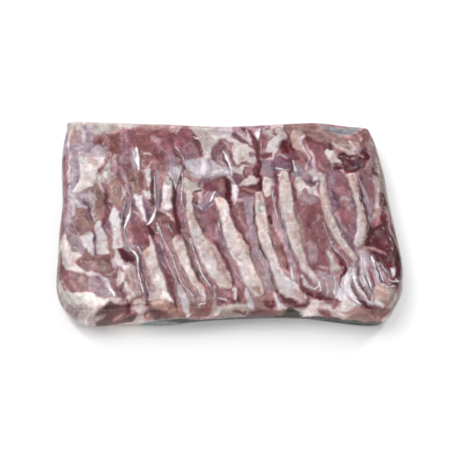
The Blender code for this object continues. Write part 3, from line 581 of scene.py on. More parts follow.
lean_7_8_top mauve_lean 0: 100,12,5 108,8,6 106,0,6 102,-8,4
lean_7_8_veil membrane 0: 108,-48 116,-54 120,-68 114,-82 107,-72
lean_7_8_right mauve_lean 0: 130,-24,3 134,-42,6 138,-58,6 144,-68,4
pale_by_8 pink_fat 0.2: 134,-46,2 138,-54,3 143,-62,4 149,-70,4 156,-78,4
lean_8_9 mauve_lean -0.4: 142,60 150,64 166,58 170,44 174,28 177,8 176,-14 172,-34 169,-50 168,-66
 160,-58 150,-36 144,-11 140,21 139,44
lean_8_9_top red_lean 0: 152,52,5 160,44,10 166,34,7
lean_8_9_top_left lilac 0: 143,62,3 146,52,7 147,42,6
lean_8_9_purple dusk 0: 146,32,4 150,22,8 151,12,7 148,0,5
lean_8_9_patch pink_fat 0.2: 159,16,4 163,19,5 168,15,5 170,20,3
lean_8_9_streak tan_fat 0.2: 163,10,3 165,4,4 168,-2,3
lean_8_9_red red_lean 0: 160,0,6 161,-12,9 163,-24,6
lean_8_9_lilac membrane 0: 149,-8,4 151,-20,5 156,-32,5 162,-40,6
lean_8_9_low dusk 0: 158,-36,5 163,-48,7 166,-58,5
edge_by_8 dusk -0.5: 141,62,4 139,48,4 139,38,3 142,18,3 145,2,3 148,-14,3 152,-28,3 158,-44,3
 165,-60,3
lean_9_10 mauve_lean -0.5: 181,58 196,62 204,54 204,30 202,8 198,-8 192,-22 187,-10 184,20
lean_9_10_red red_lean 0: 190,44,7 196,34,9 198,24,5
lean_9_10_dark dark_lean -0.3: 186,56,5 186,50,6
lean_9_10_line pale_lilac 0.3: 184,43,2 187,33,3 191,23,3 192,12,3
lean_9_10_grey lilac 0: 189,18,5 191,4,7 194,-10,6 194,-18,3
edge_by_9 umber -0.6: 182,36,2 183,25,4 185,12,3 188,0,3 190,-14,4 190,-28,4 187,-42,3
# right-hand end
right_red_strip deep_lean -0.2: 212,26 216,14 219,0 221,-16 214,-24 206,-14 207,-2 209,12
right_lean deep_lean 0.4: 190,-22 200,-26 212,-22 220,-28 224,-49 230,-69 232,-95 222,-108 208,-99
 198,-86 190,-72 183,-54 188,-38
right_lean_brown dark_lean 0: 200,-34,7 208,-44,9 212,-54,6
right_lean_deep blood 0.1: 212,-55 224,-53 231,-73 230,-99 216,-101 207,-90 205,-74
right_lean_left blood 0: 190,-38,5 191,-46,6 187,-54,4
purple_shelf deep_lean 0.2: 196,-62 208,-60 216,-70 212,-84 202,-80
brown_shelf tan_fat 0.4: 170,-56,4 180,-58,6 190,-60,7 200,-65,5 207,-70,3
right_edge_pale pink_fat 0.3: 215,-20,2 218,-32,3 222,-46,3 225,-56,2
# the ribs, back end to front end
short_rib_6 bone 1.2: 53,50 61,50 64,45 63,35 62,24 58,20 54,23 52,34
rib_1_pale cream_fat 0.6: -136,-94 -129,-92 -127,-104 -130,-112 -134,-118 -137,-108
rib_1 tan_bone 1.4: -126,-84 -117,-86 -112,-98 -108,-112 -105,-124 -112,-130 -120,-126 -122,-112
 -125,-98
rib_1_brown tan_lean 0: -121,-88,4 -119,-100,6 -116,-112,5
rib_1_pale_right cream_fat 0.4: -127,-108,3 -124,-118,6 -120,-127,8
red_by_1 dark_lean -0.4: -130,-109,2 -130,-119,6 -128,-131,6
rib_2 bone 1.6: -102,-36 -97,-44 -92,-55 -90,-66 -87,-76 -83,-87 -79,-97 -76,-107 -73,-117 -70,-126
 -64,-137 -72,-135 -80,-132 -84,-128 -87,-119 -91,-108 -95,-98 -99,-88 -103,-76 -105,-64 -99,-57
 -98,-47
rib_2_orange peach_fat 0: -99,-58,4 -102,-65,7 -101,-73,4
rib_2_edge string 0.3: -102,-74,2 -98,-87,3 -93,-101,3 -87,-116,3 -82,-129,2
rib_2_cool white_fat 0: -93,-76,4 -88,-92,8 -82,-108,8 -78,-120,7
rib_2_gleam gleam 0.2: -87,-99,5 -85,-105,6
rib_2_foot gleam 0.2: -75,-122,4 -72,-130,5 -67,-136,3
rib_3 bone 1.4: -66,-42 -59,-41 -54,-48 -50,-61 -46,-74 -43,-87 -39,-97 -33,-107 -27,-117 -24,-126
 -23,-135 -29,-136 -33,-128 -38,-120 -42,-112 -47,-102 -52,-91 -57,-81 -61,-71 -66,-59 -69,-48
rib_3_tip rose 0: -64,-44,4 -60,-44,5
rib_3_flank tan_lean 0: -50,-56,4 -45,-70,6 -42,-84,5 -39,-94,3
rib_3_low tan_fat 0: -38,-116,3 -34,-125,5 -29,-131,5
rib_3_dark dusk -0.3: -35,-123,3 -32,-127,4
rib_3_crest gleam 0: -58,-62,3 -52,-78,3 -45,-94,3
front_strip white_fat 0.8: -60,-112 -54,-113 -48,-125 -43,-138 -42,-148 -49,-148 -54,-138 -58,-126
strip_slate dusk -0.4: -61,-112,2 -60,-124,3 -56,-136,3
rib_4 bone 1.7: -53,26 -45,26 -44,10 -43,-2 -39,-14 -34,-26 -29,-38 -24,-46 -17,-53 -11,-59 -7,-69
 -3,-79 3,-90 7,-100 9,-109 8,-117 0,-118 -6,-118 -10,-112 -17,-102 -24,-92 -30,-80 -34,-68 -39,-55
 -43,-42 -46,-32 -50,-16 -52,2 -51,14
rib_4_brow tan_lean 0: -42,-4,3 -38,-14,5 -33,-26,4
rib_4_flank tan_bone 0: -28,-38,3 -19,-54,6 -12,-68,9 -6,-80,9 0,-94,8 4,-108,7
rib_4_cool white_fat 0: -42,-22,5 -38,-36,8 -33,-50,6
rib_4_lilac lilac_bone 0: -37,-52,4 -31,-66,7 -25,-80,8 -18,-93,6
rib_4_end peach_fat 0: -6,-108,5 2,-110,8 6,-115,5
rib_4_flecks_b rose 0: -16,-70,3 -12,-78,2 -10,-88,3 -6,-92,2
rib_5 bone 1.9: -14,17 -6,19 1,15 5,6 6,-6 8,-18 13,-28 17,-36 23,-45 29,-59 34,-74 39,-88 43,-100
 48,-111 49,-122 44,-129 35,-129 31,-121 24,-110 20,-98 15,-84 8,-70 3,-54 0,-42 -3,-28 -6,-14 -9,-2
 -12,8
rib_5_cool lilac_bone 0: 2,-38,4 7,-54,6 14,-70,7 20,-85,7 25,-99,5
rib_5_edge peach_fat 0: 14,-34,3 21,-46,4 27,-60,4 32,-74,4
rib_5_flank tan_bone 0: 36,-68,3 40,-82,6 44,-96,7 48,-108,5
rib_5_gleam gleam 0: -2,-2,2 -1,-6,3 2,-20,3
rib_5_end tan_bone 0: 36,-116,5 42,-122,7 46,-126,5
rib_5_end_spots rust -0.2: 39,-115,2 43,-118,3 38,-124,2
rib_6 bone 1.7: 41,25 46,28 51,26 52,12 53,0 55,-12 57,-24 57,-38 60,-50 64,-62 68,-76 72,-90
 75,-100 82,-104 90,-110 96,-118 102,-126 103,-133 96,-135 88,-133 78,-129 70,-122 65,-112 62,-100
 58,-86 54,-72 49,-57 44,-42 43,-30 41,-10 40,8
rib_6_grey smoky_fat 0: 46,17,4 48,10,4 46,2,4 48,-4,3
rib_6_pink tan_fat 0: 43,23,3 44,14,3 48,24,3
rib_6_notch brick -0.4: 42,-24,2 43,-31,4 43,-38,2
rib_6_veil white_fat 0: 70,-94,4 75,-104,8 78,-114,9 82,-123,6
rib_6_end tan_bone 0: 88,-120,5 94,-126,8 99,-131,6
rib_6_crest lilac_bone 0: 51,-54,3 56,-70,4 61,-86,4 65,-98,3
rib_7 bone 1.7: 77,62 86,60 89,45 90,30 92,12 92,0 95,-14 98,-30 99,-44 101,-60 105,-76 110,-90
 120,-106 122,-112 115,-108 108,-101 101,-93 95,-80 89,-64 84,-48 80,-28 76,-4 74,12 74,40
rib_7_arcs gleam 0.4: 74,55,2 77,51,3 76,45,2
rib_7_flank tan_bone 0: 93,2,3 97,-14,6 100,-28,6 101,-42,5 103,-56,3
rib_7_shade olive -0.2: 95,-2,2 99,-16,2 103,-30,2
rib_7_pink string 0: 84,-14,4 86,-28,4 90,-44,3
rib_8 bone 1.6: 128,58 138,56 137,45 139,30 141,15 143,2 145,-12 148,-25 152,-38 157,-50 163,-60
 170,-70 174,-79 168,-81 160,-71 152,-60 145,-48 139,-35 135,-22 132,-8 130,6 129,20 129,32 130,44
rib_8_shade tan_bone 0: 135,52,4 136,38,4 138,22,4 140,8,4 143,-8,3
rib_8_web white_fat 0.2: 126,56,4 131,54,6 134,48,4
rib_8_edge peach_fat 0: 131,26,2 131,12,3 133,-2,3 135,-16,2
rib_9 bone 1.6: 168,56 179,57 179,40 180,26 182,12 184,2 186,-10 188,-22 187,-33 184,-43 181,-50
 178,-56 171,-57 168,-51 171,-40 174,-28 176,-14 177,0 176,10 174,22 172,36 169,48
rib_9_top tan_bone 0: 175,54,5 176,42,5 178,30,4
rib_9_edge peach_fat 0.2: 168,54,3 171,44,3 174,30,3
rib_9_flank tan_bone 0: 184,-4,3 186,-18,4 185,-32,4 182,-44,4
rib_9_left lilac_bone 0: 176,-18,3 174,-32,4 171,-46,4
rib_10 tan_bone 1.4: 203,52 210,50 211,40 210,28 208,16 207,4 205,-5 202,-11 196,-17 193,-21 195,-13
 199,-3 201,8 202,20 203,34
rib_10_pink string 0: 206,30,3 205,18,4 203,4,3
# front edge, left to right
front_brown umber 0: -160,-150 -150,-141 -140,-136 -126,-137 -119,-142 -118,-165 -166,-167
front_tan_1 tan_lean 0.2: -140,-125,4 -135,-130,8 -130,-135,5
front_cream_1 string 0.4: -147,-131,3 -140,-132,5 -135,-129,4
front_maroon blood -0.3: -122,-132,3 -120,-140,6 -120,-148,4
front_orange_a peach_fat 0.4: -114,-131 -104,-132 -98,-136 -104,-139 -115,-138
front_rust_a rust 0.2: -120,-133,2 -108,-130,3 -102,-132,2
front_pale_a cream_fat 0.4: -114,-140 -103,-139 -96,-141 -100,-146 -112,-147
knuckle_2_grey grey_fat 0.4: -96,-122 -88,-120 -84,-128 -86,-136 -96,-134
knuckle_2 rust 0.8: -92,-138 -82,-133 -72,-136 -62,-140 -54,-144 -60,-158 -92,-156
knuckle_2_orange peach_fat 0.2: -88,-138,4 -80,-137,6 -74,-140,4
knuckle_2_red umber 0: -100,-148,4 -88,-146,5 -76,-146,4
gap_2_3 dark_lean -0.6: -66,-120,3 -63,-130,4 -60,-142,4
gap_2_3_rust rust 0.2: -58,-138,4 -57,-146,5
knuckle_3 brown 0.6: -42,-134 -34,-137 -22,-136 -18,-124 -13,-128 -13,-142 -18,-154 -42,-154
knuckle_3_top tan_lean 0.4: -22,-114,4 -18,-122,8 -19,-132,7
knuckle_3_red dark_lean 0: -36,-143,3 -28,-144,4 -20,-141,3
knuckle_3_dash string 0.3: -34,-140,2 -29,-138,3 -24,-137,2
line_by_knuckle string 0.5: -15,-114,2 -14,-126,3 -13,-138,3
knuckle_4_rose pale_lean 0.4: -12,-123,4 -4,-127,7 4,-128,5
knuckle_4_gleam gleam 0.4: -9,-131,2 -2,-131,3 4,-133,2
knuckle_4 grey_fat 0.8: -14,-132,4 -10,-142,7 2,-142,8 18,-140,8 30,-142,8
knuckle_4_low umber 0.1: -4,-148,4 14,-147,5 34,-147,4
gap_4_5 dark_lean -0.6: 2,-130,3 8,-132,6 12,-136,4
gap_4_5_gleam gleam 0.4: 11,-117,4 12,-124,5 13,-131,3
gap_4_5_warm brick -0.3: 15,-116,3 19,-124,7 20,-133,5
strip_4_5 white_fat 0.8: 26,-120,4 30,-132,7 36,-145,8
strip_4_5_slate lilac -0.3: 28,-117,2 33,-129,2 36,-139,2
knuckle_5 rust 0.8: 38,-130 46,-128 54,-126 62,-130 64,-140 58,-146 42,-144
knuckle_5_dark blood -0.2: 52,-137,4 57,-139,5 61,-136,4
knuckle_5_pink tan_fat 0.2: 42,-133,4 47,-132,5
under_6 dark_lean -0.8: 70,-126,3 78,-132,6 88,-137,8 96,-139,8 104,-136,4
under_6_core blood -0.3: 88,-137,3 95,-138,5 100,-137,3
strip_5_6 white_fat 0.6: 62,-124,3 66,-134,6 74,-143,8 84,-149,7
front_fat cream_fat 1.2: 101,-141 104,-134 112,-131 122,-134 136,-140 146,-134 150,-120 156,-104
 162,-98 162,-120 170,-136 166,-147 150,-147 128,-148 104,-152 86,-152
crescent dark_lean -0.8: 97,-106,3 98,-114,6 103,-121,8 112,-126,9 122,-129,7 132,-132,4 142,-134,2
crescent_deep blood -0.2: 104,-123,3 112,-127,4 122,-130,3
crescent_inner white_fat 0.5: 99,-100,3 102,-108,5 106,-114,5 113,-117,4
lilac_front membrane 0: 118,-92 132,-92 140,-100 139,-112 137,-123 126,-124 118,-114 116,-104
lilac_front_mauve lilac 0: 122,-94,4 130,-98,6 136,-100,4
lilac_front_tan tan_fat 0: 130,-106,6 130,-114,8 129,-121,5
front_white gleam 0.6: 140,-104 146,-113 150,-113 154,-126 152,-139 142,-133 136,-125 138,-114
front_white_line lilac 0: 141,-102,2 142,-112,2.5 141,-121,2
leaf_lean red_lean 0: 116,-84,4 126,-89,7 136,-94,5
leaf_streak string 0.4: 120,-86,2 127,-86,3 134,-88,2
pale_leaf grey_fat 0.8: 132,-62 136,-65 141,-76 146,-88 145,-94 139,-94 134,-84 132,-73
maroon_leaf dark_lean -0.6: 139,-60,3 147,-73,7 152,-87,10 150,-103,8 147,-114,4
maroon_leaf_core blood 0: 149,-80,3 151,-92,4 149,-102,3
pleat_bed membrane 0.2: 171,-60 184,-62 192,-74 198,-84 204,-98 210,-112 198,-114 191,-118 188,-138
 172,-140 160,-120 156,-96 162,-84
pleat_dark deep_lean 0: 197,-80 206,-78 216,-84 222,-98 221,-110 210,-112 204,-104 199,-92
pleat_dark_mauve dusk 0.2: 202,-86,3 207,-96,5 211,-106,4
pleat_patch pale_lilac 0.2: 172,-62 183,-64 187,-76 184,-92 177,-97 173,-84
pleat_patch_light gleam 0.2: 177,-74,4 179,-82,5 178,-90,3
pleat_mauve dusk -0.3: 178,-99,3 181,-112,7 184,-126,7 187,-134,3
pleat_light_a gleam 1: 160,-88,3 156,-97,7 153,-107,9 155,-120,9 161,-131,7 168,-138,4
pleat_light_b bright_fat 1: 164,-89,3 165,-98,6 167,-111,5 172,-124,5 179,-136,4
pleat_light_c gleam 0.8: 176,-92,2 174,-101,3 175,-111,3
pleat_light_g pale_lilac 0.5: 180,-98,2 182,-112,2.5 184,-124,2.5 185,-135,3
pleat_light_d gleam 1: 189,-71,2 192,-83,3 193,-95,3 196,-106,3 202,-113,3 209,-117,2
pleat_light_e membrane 0.8: 196,-80,2 199,-91,3 203,-101,3 207,-108,2
pleat_shade_a deep_lean -0.8: 159,-110,1.5 161,-121,3 167,-132,4 175,-140,4.5 184,-143,3
pleat_shade_b dark_lean -0.8: 171,-72,2 171,-90,3 171,-103,3 173,-116,3 179,-131,3
pleat_shade_c dark_lean -0.8: 185,-88,2 187,-97,5 189,-107,4 190,-114,2
pleat_shade_d dark_lean -0.8: 193,-84,1.5 196,-97,2.5 200,-107,3 206,-112,2
pleat_sparkle_b gleam 0.6: 215,-87,2 215,-98,3.5
pleat_sparkle gleam 0.6: 218,-103,3 220,-106,3
peach_corner peach_fat 1: 190,-117 202,-113 213,-115 217,-127 210,-139 196,-143 187,-132
peach_white gleam 0.3: 186,-134,3 192,-138,4 198,-140,3
peach_grey grey_fat 0: 204,-118,4 210,-122,6 212,-130,5
corner_rust brown 0.4: 182,-144 192,-143 204,-142 214,-140 216,-157 196,-165 180,-159
front_brown_b rust 0: 152,-146,4 162,-145,6 176,-146,6
front_red_b umber 0: 124,-147,4 138,-147,6 152,-149,5
"""

# The sides: the same, by the way round from the middle of the front and the height.
# The near-black patches on the front are painted shadow, most of them under its edge.
SIDE_LAYOUT = """
corner_film pink_fat 0: -236,-2 -236,50 -160,54 -158,40 -166,22 -176,0 -178,-4
corner_cream grey_fat 0: -196,44,14 -190,24,16 -186,6,10
corner_line gleam 0: -182,40,2 -180,24,3 -182,8,2
cut_corner_side cream_fat 0.3: 1268,52 1300,54 1345,54 1345,-6 1316,-6 1302,18 1280,34
cut_lean_a umber 0.6: -150,54 -118,52 -117,34 -122,16 -138,11 -152,8 -164,0 -175,-2 -168,18 -160,36
cut_lean_red dark_lean 0.4: -144,44,8 -146,30,11 -142,17,7
cut_lean_rust rust 0.3: -134,44,8 -138,32,8 -146,22,5
cut_lean_pink tan_lean 0.3: -124,42,5 -130,31,6 -138,24,3
cut_streak pink_fat 0.6: -111,50,8 -115,34,8 -120,20,7 -126,8,6
cut_rust_a rust 0.2: -109,42 -100,46 -96,34 -102,22 -110,20
cut_pale white_fat 0.5: -96,54,9 -101,42,7 -104,32,4
cut_rust_b brown 0.5: -97,40 -88,50 -62,54 -52,48 -54,30 -62,20 -86,20 -98,26
cut_rust_top rust 0.3: -90,48,5 -78,46,8 -64,48,6
cut_rust_shade umber 0: -90,36,7 -92,26,9 -86,20,8
cut_olive_a olive 0: -70,44,5 -68,34,6 -66,24,6
cut_strip_a white_fat 0.8: -45,54,8 -48,42,8 -52,26,4
cut_rust_c brown 0.5: -42,54 -20,54 -18,42 -22,30 -38,26 -44,38
cut_rust_c_top rust 0.3: -38,46,6 -28,45,8 -22,46,5
cut_strip_b white_fat 0.8: -12,54,10 -11,42,10 -13,30,6
cut_tan_b grey_brown 0.6: -6,46 6,50 26,46 32,36 32,20 -12,18 -10,30
cut_tan_light grey_fat 0.3: -4,46,5 8,45,6 22,44,5
cut_tan_dark umber 0.2: 12,34,8 22,30,10 24,22,8
cut_tan_rust rust 0.2: 20,42,5 22,34,6
cut_strip_c white_fat 0.7: 30,54,7 34,44,7 39,34,4
cut_pink brown 0.4: 38,52 60,50 62,36 50,26 40,30
cut_pink_top rust 0.3: 42,46,6 52,45,8 60,44,5
cut_dark_b umber 0: 36,30 60,32 66,14 32,14
cut_red_strip dark_lean 0: 61,50,5 64,36,6 68,22,7
cut_fat_a cream_fat 0.8: 66,52 84,52 88,42 82,34 72,32
cut_olive_b brown 0: 70,30 82,34 88,24 84,14 68,14
cut_fat_b grey_fat 0.8: 88,52 132,54 130,38 128,18 106,16 98,40 90,42
cut_fat_b_light cream_fat 0.3: 114,46,14 116,30,14 117,18,8
cut_dark_c soot -0.4: 94,40 102,30 108,14 80,14 86,30
cut_leaf dark_lean 0: 131,46,6 135,36,8 140,26,9 148,18,7
cut_fat_c pink_fat 0.5: 142,50 190,54 186,40 176,26 158,18 150,24 144,36
cut_fat_c_light cream_fat 0.2: 150,46,6 152,36,7 158,28,5
cut_knuckle rust 0.6: 157,42 164,46 174,43 170,34 160,34
cut_olive_c olive 0: 168,30 184,36 192,24 196,6 170,2 164,14
cut_rust_d brown 0.6: 182,50 206,52 208,32 204,14 194,16 186,34
cut_rust_d_light tan_lean 0.3: 190,46,4 192,34,5 198,22,3
cut_rust_d_red rust 0.3: 200,46,4 202,34,6 201,24,4
cut_base soot 0: 122,16 150,16 176,15 206,16 216,-3 118,-3
cut_base_streaks olive 0: 186,14,2 190,6,3 198,2,2
cut_base_left soot 0: -84,22 -60,24 -30,19 30,15 118,12 118,-3 -50,-3 -64,10
"""

# Folds that stand up in the film: height and width in mm, and the line of the crest.
FOLD_LINES = """
# left of the ribs
0.9 2: -97,60 -96,40 -95,25 -93,10
1.2 2.8: -94,8 -93,-2 -95,-12 -99,-20 -103,-23
0.8 2.2: -88,-26 -82,-42 -76,-54 -72,-62 -68,-72 -64,-85 -60,-95 -57,-105 -52,-113 -45,-121 -39,-128
0.7 1.8: -86,-45 -82,-55 -80,-61
0.7 1.8: -76,-75 -70,-88 -65,-98 -60,-108 -58,-118
0.7 1.8: -90,-20 -88,-35
0.6 1.8: -76,-22 -70,-35
0.8 1.8: -129,15 -127,5 -127,-5 -129,-15 -132,-28 -133,-36 -128,-48 -124,-60
0.6 1.6: -134,15 -136,0 -138,-15
0.9 2.4: -70,100 -65,94 -60,86 -57,78 -56,72
0.8 2: -54,92 -54,78 -53,68 -51,63
0.8 2: -60,62 -58,45 -59,30 -59,15 -57,5 -52,-2
0.8 2.4: -78,59 -71,49 -67,37
0.8 2.4: -61,67 -64,53 -67,39
1.2 4: -124,97 -122,86 -120,73 -119,62
1.3 2.8: -124,-60 -117,-66 -113,-72 -112,-81 -110,-98 -106,-112 -101,-124 -103,-131
0.7 1.8: -125,-60 -118,-56 -113,-58 -108,-67
0.8 2: -101,-107 -97,-117 -94,-127 -94,-134
0.7 1.8: -206,25 -196,9 -189,3 -184,2
0.6 1.6: -179,6 -176,-8 -172,-20
# the middle
0.9 2.4: -20,13 -17,19 -14,27
0.7 1.8: -28,18 -23,27
0.7 1.8: -44,9 -36,5 -31,1
0.7 1.8: -22,4 -15,10
0.8 2: -33,108 -30,98 -28,88
1 2: -3,95 1,88 4,80 7,70 9,60 9,52
0.7 1.8: -16,56 -8,58 2,58
0.7 1.8: -24,51 -12,54 2,54
0.8 2: 43,126 47,119 49,128 50,135
0.7 1.6: 50,118 51,104 50,90
0.9 2.2: 70,66 78,65 86,62
0.9 2.4: 95,79 96,70 97,61
# beside the ribs
0.8 2.2: -46,-45 -42,-58 -38,-70 -35,-80 -31,-92 -27,-100 -22,-108 -16,-118
0.6 1.6: -34,-87 -28,-99 -19,-112 -13,-124
0.6 1.6: 3,-68 8,-84 15,-97 21,-107
0.6 1.6: -9,-18 -7,-32 -4,-42
0.8 1.8: 41,-62 47,-76 52,-92 56,-106 60,-117
0.6 1.6: 45,-62 50,-76 54,-92 58,-106
0.6 1.6: 35,6 36,-8 35,-24
0.9 2.2: 64,30 65,15 67,0 70,-15 73,-29
0.7 1.8: 75,4 77,-19 80,-41 83,-59
0.8 2: 85,-80 85,-92 86,-106
0.8 2: 119,-108 120,-114 120,-121
0.7 1.8: 130,-22 133,-35 137,-50 139,-58
0.8 2: 140,-58 148,-68 156,-78 158,-88
0.6 1.6: 183,52 187,31 190,9 194,-11
0.6 1.6: 148,74 148,60 150,46
0.7 1.8: 120,46 124,48 128,50
# along the front
0.8 2.2: 100,-103 105,-113 113,-118 118,-113
0.7 1.8: 139,-100 140,-112 139,-125
0.7 1.8: 128,-108 129,-118 128,-128
0.8 2.2: -10,-130 -4,-131 2,-133
0.8 2.2: 10,-118 13,-125 13,-132
0.6 1.6: -34,-139 -29,-138 -24,-137
0.8 2.4: -145,-118 -140,-123 -138,-128
0.7 1.8: -197,-136 -186,-140 -174,-141
# the fan in the front right corner
1.8 3.4: 160,-88 152,-105 153,-120 160,-132 169,-139
1.5 2.4: 163,-100 166,-113 172,-126 178,-134 184,-139
1.7 2.6: 176,-69 175,-83 175,-97 179,-112 186,-128
1.5 2.2: 180,-95 183,-108 185,-120 184,-135
1.7 2.8: 189,-72 192,-85 193,-98 196,-110 203,-116 214,-114
1.5 2.4: 195,-80 198,-95 201,-106 208,-112
1.2 2: 199,-80 203,-88 206,-94
1.6 2.2: 215,-88 216,-94 215,-100
1.3 2: 206,-104 213,-108 221,-106
"""

# What the film shows over the meat: a colour, and how soft its border is in mm. milk is its
# milkiness together with painted sheen, glint a painted highlight, smoke its grey where it stands
# off the meat with painted reflection in it, and slate and the near-black painted shade and shadow.
FILM_TONES = {
    "milk": ((232, 226, 232), 3.0),
    "glint": ((252, 244, 246), 0.8),
    "lilac": ((186, 172, 192), 5.0),
    "smoke": ((112, 118, 122), 4.0),
    "slate": ((66, 64, 68), 5.0),
    "night": ((26, 26, 27), 3.0),
}

# Where the film stands off the meat and clouds, and where its sheen, highlights and shade are
# painted: its tone, how much of it shows, and points.
# painted highlights: bright edges where the taut film lifts off the meat
# painted shade on the rim of the bag at both ends, and the web of film over the notch in the back
# edge
TOP_VEILS = """
milk 0.3: -54,75 -44,81 -28,80 -14,71 2,65 4,57 -14,54 -44,57
lilac 0.25: -33,8 -24,20 -14,28 -16,18 -22,5 -28,0
milk 0.25: -78,61 -60,68 -64,49 -68,37
milk 0.12: -214,87,8 -209,47,10 -206,7,12 -208,-33,10
milk 0.65: 157,-97,3 154,-107,6 156,-120,4 162,-131,3
milk 0.65: 164,-90,2 164,-98,4 167,-110,2
glint 0.45: 176,-92,1 174,-101,2 175,-110,1
glint 0.5: 190,-73,1 192,-84,2 193,-95,1.5 196,-106,1 202,-113,1
milk 0.2: -133,-81,5 -122,-87,9 -114,-89,6
milk 0.25: 72,-93,6 75,-107,9 80,-121,6
milk 0.08: 108,-101 128,-95 144,-105 142,-127 120,-121
# bright edges where the taut film lifts off the meat
milk 0.4: -128,96,3 -127,86,6 -126,75,6 -125,64,4
glint 0.7: -124,98,1.5 -122,88,3 -121,76,3.5 -120,66,2
glint 0.6: -94,6,1 -94,-4,2 -97,-13,2.5 -101,-20,1
glint 0.6: -129,14,0.6 -127,3,1.6 -128,-8,2.4 -131,-18,1.6 -133,-28,0.8
glint 0.6: -120,-63,1 -114,-71,1.4 -112,-83,1.8 -110,-98,1.8 -106,-112,2 -102,-124,1
glint 0.6: -20,12,1 -18,18,2 -14,27,1
glint 0.6: -2,94,0.6 3,83,1.8 7,70,1.8 9,58,1
glint 0.8: 43,127 46,125 50,135 49,124 47,117 44,121
glint 0.6: 70,66,1 77,65,2 86,62,1
glint 0.55: 95,79,1 96,71,2 97,65,4 98,59,2
glint 0.6: -87,-99,1 -85,-102,3 -83,-105,1
glint 0.7: -74,-122,2 -72,-127,4 -69,-133,3
glint 0.7: 120,46,2 124,48,4 128,50,2
glint 0.7: 212,-88,2 214,-93,4 214,-99,2
glint 0.55: -147,-116,1 -142,-121,2.5 -139,-127,1.5
glint 0.6: 118,-107,1 120,-114,3 120,-121,1
glint 0.6: 84,-83,1 85,-93,3 86,-105,2
# the smoky rim of the bag, and the web of film over the notch in the back edge
smoke 0.75: 137,143 142,144 155,140 185,143 190,135 180,126 165,126 155,129 145,134 137,137
slate 0.75: 222,67,3 228,17,5 231,-23,6 234,-63,8 232,-95,9 226,-121,8 214,-143,8
slate 0.6: -233,137,3 -235,97,3 -229,37,2 -226,-23,2 -224,-83,3 -214,-123,4 -196,-147,4
"""

# The same on the sides, by the way round and the height.
# Low on the front and the right side, the near-black veils are painted shadow under the edge.
SIDE_VEILS = """
milk 0.18: 240,10,14 600,10,14 900,10,14 1330,10,14
smoke 0.75: -118,4 -110,14 -98,19 -80,20 -66,10 -50,4 -44,-6 -122,-6
night 0.85: -84,24 -60,26 -40,20 10,16 60,14 60,2 -30,2 -50,6 -66,12 -80,20
milk 0.18: -200,44,8 -190,24,12 -184,6,10
night 0.6: 126,4,10 170,4,14 210,6,12
night 0.55: 232,16,10 262,18,16 330,20,17 400,20,17 460,19,14 520,18,8
smoke 0.45: 1110,18,8 1180,20,12 1250,20,12 1300,18,8
"""


# ---------------------------------------------------------------- reading the layouts
def rows_of(layout):
    """Each entry's words and its points. A line without a colon goes on with the points."""
    rows = []
    for line in layout.strip().splitlines():
        if line.startswith("#"):
            continue
        words, _, points = line.rpartition(":")
        if words:
            rows.append((words.split(), []))
        rows[-1][1].extend(tuple(float(n) for n in point.split(",")) for point in points.split())
    return rows


def patches_of(layout):
    """Patches of tissue: the tissue, how far it stands up in mm, and its points."""
    return [(tissue, float(rise), points) for (_, tissue, rise), points in rows_of(layout)]


def veils_of(layout):
    """Veils of the film: the tone, how much of it shows, and its points."""
    return [(tone_name, float(share), points) for (tone_name, share), points in rows_of(layout)]


# The film's folds: height and width in mm, and the line of the crest.
FOLDS = [(float(height), float(width), line) for (height, width), line in rows_of(FOLD_LINES)]


# ---------------------------------------------------------------- helpers for form and relief
def smooth_line(points, closed=False, steps=SPLINE_STEPS):
    """A Catmull-Rom curve through the points, sampled steps times between each two."""
    p = np.array(points, float)
    if closed:
        p = np.vstack([p[-1:], p, p[:2]])
    else:
        p = np.vstack([2 * p[0] - p[1], p, 2 * p[-1] - p[-2]])
    t = np.linspace(0, 1, steps, endpoint=False)[:, None]
    spans = []
    for a, b, c, d in zip(p[:-3], p[1:-2], p[2:-1], p[3:]):
        spans.append(
            0.5 * (2 * b + (c - a) * t + (2 * a - 5 * b + 4 * c - d) * t**2
                   + (3 * b - a - 3 * c + d) * t**3)
        )
    if not closed:
        spans.append(p[-2:-1])
    return np.vstack(spans)


def ease(value, start=0.0, end=1.0):
    """Runs smoothly from 0 at start to 1 at end."""
    t = np.clip((value - start) / (end - start), 0, 1)
    return t * t * (3 - 2 * t)


